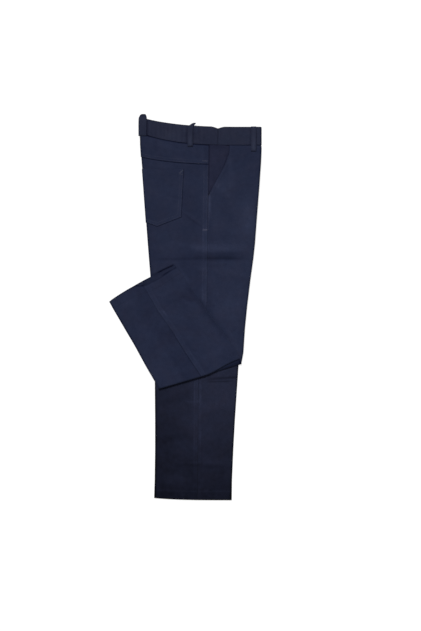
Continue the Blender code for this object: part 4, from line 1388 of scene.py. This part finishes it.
# Sewing: navy thread, palest on the bar tacks and dark along the hems, where the left leg's hem thread
# carries painted shade like the cloth around it. Double rows hold the yoke, both pockets, the loops and the
# outseam down to its bar tack, and single rows the waistband and the hems.
STITCH_PITCH = 3.1
STITCH_LONG = 2.3
THREAD = 0.42
HEM_THREAD = 0.3
THREAD_SIDES = 6
TACK_PITCH = 0.75
TACK_LONG = 2.0
TACK_THREAD = 0.5
STITCH_SINK = 0.06       # how far the stitches are drawn into the cloth
UNDERSIDE_SINK = 0.16    # and the stitches underneath
NEEDLE_FROM = 0.04       # metres over the table from which each stitch is set down on the cloth
TWIST = 900.0


def thread_colour(name, dark, pale, gloss):
    """Sewing thread of one shade, uneven along its twist."""
    material = bpy.data.materials.new(name)
    material.use_nodes = True
    shader = material.node_tree.nodes["Principled BSDF"]
    twist = material.node_tree.nodes.new("ShaderNodeTexNoise")
    twist.inputs["Scale"].default_value = TWIST
    ramp = material.node_tree.nodes.new("ShaderNodeValToRGB")
    ramp.color_ramp.elements[0].color = (*dark, 1.0)
    ramp.color_ramp.elements[1].color = (*pale, 1.0)
    material.node_tree.links.new(twist.outputs["Fac"], ramp.inputs["Fac"])
    material.node_tree.links.new(ramp.outputs["Color"], shader.inputs["Base Color"])
    shader.inputs["Roughness"].default_value = 0.55
    shader.inputs["Specular IOR Level"].default_value = gloss
    return material


navy_thread = thread_colour("navy_thread", (0.010, 0.013, 0.028), (0.027, 0.032, 0.060), 0.3)
dull_thread = thread_colour("dull_thread", (0.005, 0.007, 0.017), (0.011, 0.014, 0.032), 0.1)
# a darker copy of the thread: painted shade for the left leg's hem
shaded_hem_thread = thread_colour("shaded_hem_thread", (0.003, 0.004, 0.010), (0.007, 0.009, 0.020), 0.05)
tack_thread = thread_colour("tack_thread", (0.024, 0.026, 0.052), (0.046, 0.048, 0.086), 0.3)

bpy.context.view_layer.update()
surfaces = {}


def surface_of(piece):
    """The finished surface of a piece, to sew on, worked out once."""
    if piece.name not in surfaces:
        surfaces[piece.name] = BVHTree.FromObject(piece, bpy.context.evaluated_depsgraph_get())
    return surfaces[piece.name]


def evenly(path, pitch):
    """Middles and directions of stitches along a path of (x, y) points."""
    spots = [Vector(spot) for spot in path]
    lengths = [(two - one).length for one, two in zip(spots, spots[1:])]
    count = max(1, round(sum(lengths) / pitch))
    middles = []
    for number in range(count):
        at = (number + 0.5) * sum(lengths) / count
        for one, two, length in zip(spots, spots[1:], lengths):
            if at <= length:
                middles.append((part_way(one, two, at / length), (two - one).normalized()))
                break
            at -= length
    return middles


def stitch_mesh(verts, faces, centre, along, up, long, thick):
    """One stitch: a short round thread with pointed ends."""
    across = up.cross(along).normalized()
    first = len(verts)
    near = first + 1
    far = near + THREAD_SIDES
    last = far + THREAD_SIDES
    verts.append(centre - along * long / 2 - up * thick * 0.35)
    for end in (-0.3, 0.3):
        for side in range(THREAD_SIDES):
            angle = 2 * pi * side / THREAD_SIDES
            out = across * thick / 2 * cos(angle) + up * thick / 2 * sin(angle)
            verts.append(centre + along * long * end + out)
    verts.append(centre + along * long / 2 - up * thick * 0.35)
    for side in range(THREAD_SIDES):
        after = (side + 1) % THREAD_SIDES
        faces.append((first, near + after, near + side))
        faces.append((near + side, near + after, far + after, far + side))
        faces.append((far + side, far + after, last))


def sew(name, rows, thread=navy_thread, pitch=STITCH_PITCH, long=STITCH_LONG, thick=THREAD):
    """Joined stitches along rows on pieces; a row is a piece, a path of (x, y) points, and the side seen."""
    verts, faces = [], []
    for piece, path, side in rows:
        surface = surface_of(piece)
        down = Vector((0.0, 0.0, -1.0)) if side == "top" else Vector((0.0, 0.0, 1.0))
        for middle, direction in evenly(path, pitch):
            above = Vector((middle.x * MM, middle.y * MM, 0.0)) - down * NEEDLE_FROM
            hit, normal, _, _ = surface.ray_cast(above, down)
            if hit is None:
                continue
            up = normal if normal.dot(down) < 0 else -normal
            flat = Vector((direction.x, direction.y, 0.0))
            along = (flat - up * flat.dot(up)).normalized()
            sink = STITCH_SINK if side == "top" else UNDERSIDE_SINK
            centre = hit / MM + up * (thick / 2 - thick * 0.3 - sink)
            stitch_mesh(verts, faces, centre, along, up, long, thick)
    mesh = bpy.data.meshes.new(name)
    mesh.from_pydata([vert * MM for vert in verts], [], faces)
    mesh.materials.append(thread)
    mesh.shade_smooth()
    piece = bpy.data.objects.new(name, mesh)
    bpy.context.scene.collection.objects.link(piece)
    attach(piece, "root")


def zigzag(one, two, wide, pitch=TACK_PITCH):
    """Path of a bar tack from one point to another."""
    one, two = Vector(one), Vector(two)
    along = (two - one).normalized()
    across = Vector((-along.y, along.x)) * wide / 2
    count = max(2, round((two - one).length / pitch))
    return [one + (two - one) * number / count + across * (1 if number % 2 else -1)
            for number in range(count + 1)]


def row_path(row, first, last, count=40, h=LEG_DEEP / 2):
    """Path along a row between two distances from the back fold."""
    return [tuple(place(row, s, h).xy) for s in steps(first, last, count)]


def outseam_x(y):
    """Where the outseam of the thigh lies."""
    row = thigh_row(straight(y))
    return row.back.x + row.outseam * wide_of(row)


yoke_rows = []
for up in (2.0, 8.2):
    for piece, row_at, side in ((right_yoke, thigh_row, "top"), (left_yoke, left_row, "bottom")):
        row = row_at(lowered(YOKE_SEAM, -up))
        yoke_rows.append((piece, row_path(row, 2.0, row.outseam * wide_of(row) - 2.0), side))
sew("yoke_stitching", yoke_rows)

BAND_STITCHES = 0.055    # share of the band's height from its seam to its stitching
band_low = band_row(BAND_STITCHES)
band_join = ELASTIC_END - band_low.back.x
plain_fronts = ((right_band, "top"), (left_band, "bottom"))
back_path = row_path(band_low, 3.0, band_join - 1.5, 60)
band_rows = [(gathered_band, back_path, "top"), (gathered_band, back_path, "bottom")]
for piece, side in plain_fronts:
    band_rows.append((piece, row_path(band_low, band_join + 2.0, wide_of(band_low) - 3.0), side))
for piece, side in plain_fronts:
    for in_front in (1.8, 6.5):
        path = [tuple(place(band_row(share), band_join + in_front, 3.0).xy) for share in steps(0.06, 0.93, 8)]
        band_rows.append((piece, path, side))
sew("waistband_stitching", band_rows, dull_thread)

mouth_rows = []
for in_front in (2.0, 8.0):
    path = [(outseam_x(y) + read(MOUTH, "wide", y) + in_front, y) for y in steps(396.0, 278.0, 30)]
    mouth_rows.append((right_front, path, "top"))
sew("slant_pocket_stitching", mouth_rows, dull_thread)

OUTSEAM_TACK = 191.0
outseam_rows = []
for behind in (2.0, 11.0):
    path = [(outseam_x(y) - behind, y) for y in steps(352.0, OUTSEAM_TACK, 40)]
    outseam_rows.append((right_back, path, "top"))
path = [(outseam_x(y) + 2.0, y) for y in steps(268.0, OUTSEAM_TACK, 20)]
outseam_rows.append((right_front, path, "top"))
sew("outseam_stitching", outseam_rows)

pocket_paths = []
for inside in (2.2, 8.4):
    path = []
    for down in steps(0.012, 1.0, 40):
        y = part_way(POCKET_TOP, POCKET_CORNER + inside * 0.8, down)
        path.append((read(RIGHT_THIGH, "back", y) + pocket_side(down) - inside, y))
    corner = path[-1]
    point_y = POCKET_POINT + inside * 1.07
    point_x = read(RIGHT_THIGH, "back", point_y) + POCKET_POINT_IN
    past_point = POCKET_POINT_IN - 1.5
    rise = (corner[1] - point_y) / (corner[0] - point_x)
    path += [(point_x, point_y), (point_x - past_point, point_y + past_point * rise)]
    pocket_paths.append((patch_pocket, path, "top"))
sew("patch_pocket_stitching", pocket_paths)
hem_y = POCKET_TOP - 13.0
hem_back = read(RIGHT_THIGH, "back", hem_y)
sew("pocket_hem_stitching", [(patch_pocket, [(hem_back + 1.0, hem_y), (hem_back + 100.0, hem_y)], "top")],
    dull_thread)

loop_paths = []
stitched = ((back_loop, CENTRE_BACK_LOOP[:5]), (side_loop, SIDE_BACK_LOOP[:6]), (front_loop, FRONT_LOOP))
for piece, strips in stitched:
    for share in (LOOP_STITCHES, 1 - LOOP_STITCHES):
        path = [(part_way(strip.left, strip.right, share), strip.y) for strip in strips]
        loop_paths.append((piece, path, "top"))
sew("belt_loop_stitching", loop_paths, dull_thread, 2.8, 2.1)

hem_rows = []
hem_up = HEM_DEEP - HEM_STITCHES
left_hem = mix_rows(left_keys[-1], left_keys[-2], hem_up / middles_apart(left_keys[-2], left_keys[-1]))
hem_wide = wide_of(left_hem)
for side, seam in (("top", left_hem.inseam), ("bottom", left_hem.outseam)):
    hem_rows.append((left_back, row_path(left_hem, 3.0, seam * hem_wide - 1.5, 20), side))
    hem_rows.append((left_front, row_path(left_hem, seam * hem_wide + 1.5, hem_wide - 3.0, 20), side))
sew("hem_stitching", hem_rows, shaded_hem_thread, thick=HEM_THREAD)

flap_hem = mix_rows(right_keys[-1], right_keys[-2], hem_up / HEM_DEEP)
flap_wide = wide_of(flap_hem)
flap_seam = flap_hem.inseam * flap_wide
flap_hem_rows = [(right_back, row_path(flap_hem, 3.0, flap_seam - 2.0, 20, TWILL / 2), "top"),
                 (right_front, row_path(flap_hem, flap_seam + 2.0, flap_wide - 3.0, 20, TWILL / 2), "top")]
sew("turned_leg_hem_stitching", flap_hem_rows, dull_thread, thick=HEM_THREAD)

tack_x = outseam_x(OUTSEAM_TACK)
outseam_tack = zigzag((tack_x - 13.0, OUTSEAM_TACK), (tack_x - 0.8, OUTSEAM_TACK), 4.2)
sew("outseam_tack", [(right_back, outseam_tack, "top")], tack_thread, 1.4, TACK_LONG, 0.55)

mouth_x = outseam_x(281.0)
corner_x = read(RIGHT_THIGH, "back", 338.0) + POCKET_SIDE_TOP
tack_rows = [(right_yoke, zigzag((42.0, 361.5), (55.0, 360.0), 3.6), "top"),
             (right_front, zigzag((mouth_x + 4.0, 285.0), (mouth_x + 3.0, 275.0), 2.4), "top"),
             (patch_pocket, zigzag((corner_x - 1.5, 338.5), (corner_x - 12.0, 330.0), 3.0), "top"),
             (patch_pocket, zigzag((corner_x - 12.0, 330.0), (corner_x - 2.0, 326.0), 2.4), "top")]
sew("bar_tacks", tack_rows, navy_thread, 1.6, TACK_LONG, TACK_THREAD)

loop_tacks = []
for piece, strips in ((back_loop, CENTRE_BACK_LOOP), (side_loop, SIDE_BACK_LOOP), (front_loop, FRONT_LOOP)):
    foot = strips[0]
    tack = zigzag((foot.left + 2.0, foot.y + 2.0), (foot.right - 1.0, foot.y + 2.0), 1.8)
    loop_tacks.append((piece, tack, "top"))
sew("belt_loop_tacks", loop_tacks, dull_thread, 1.6, TACK_LONG, TACK_THREAD)
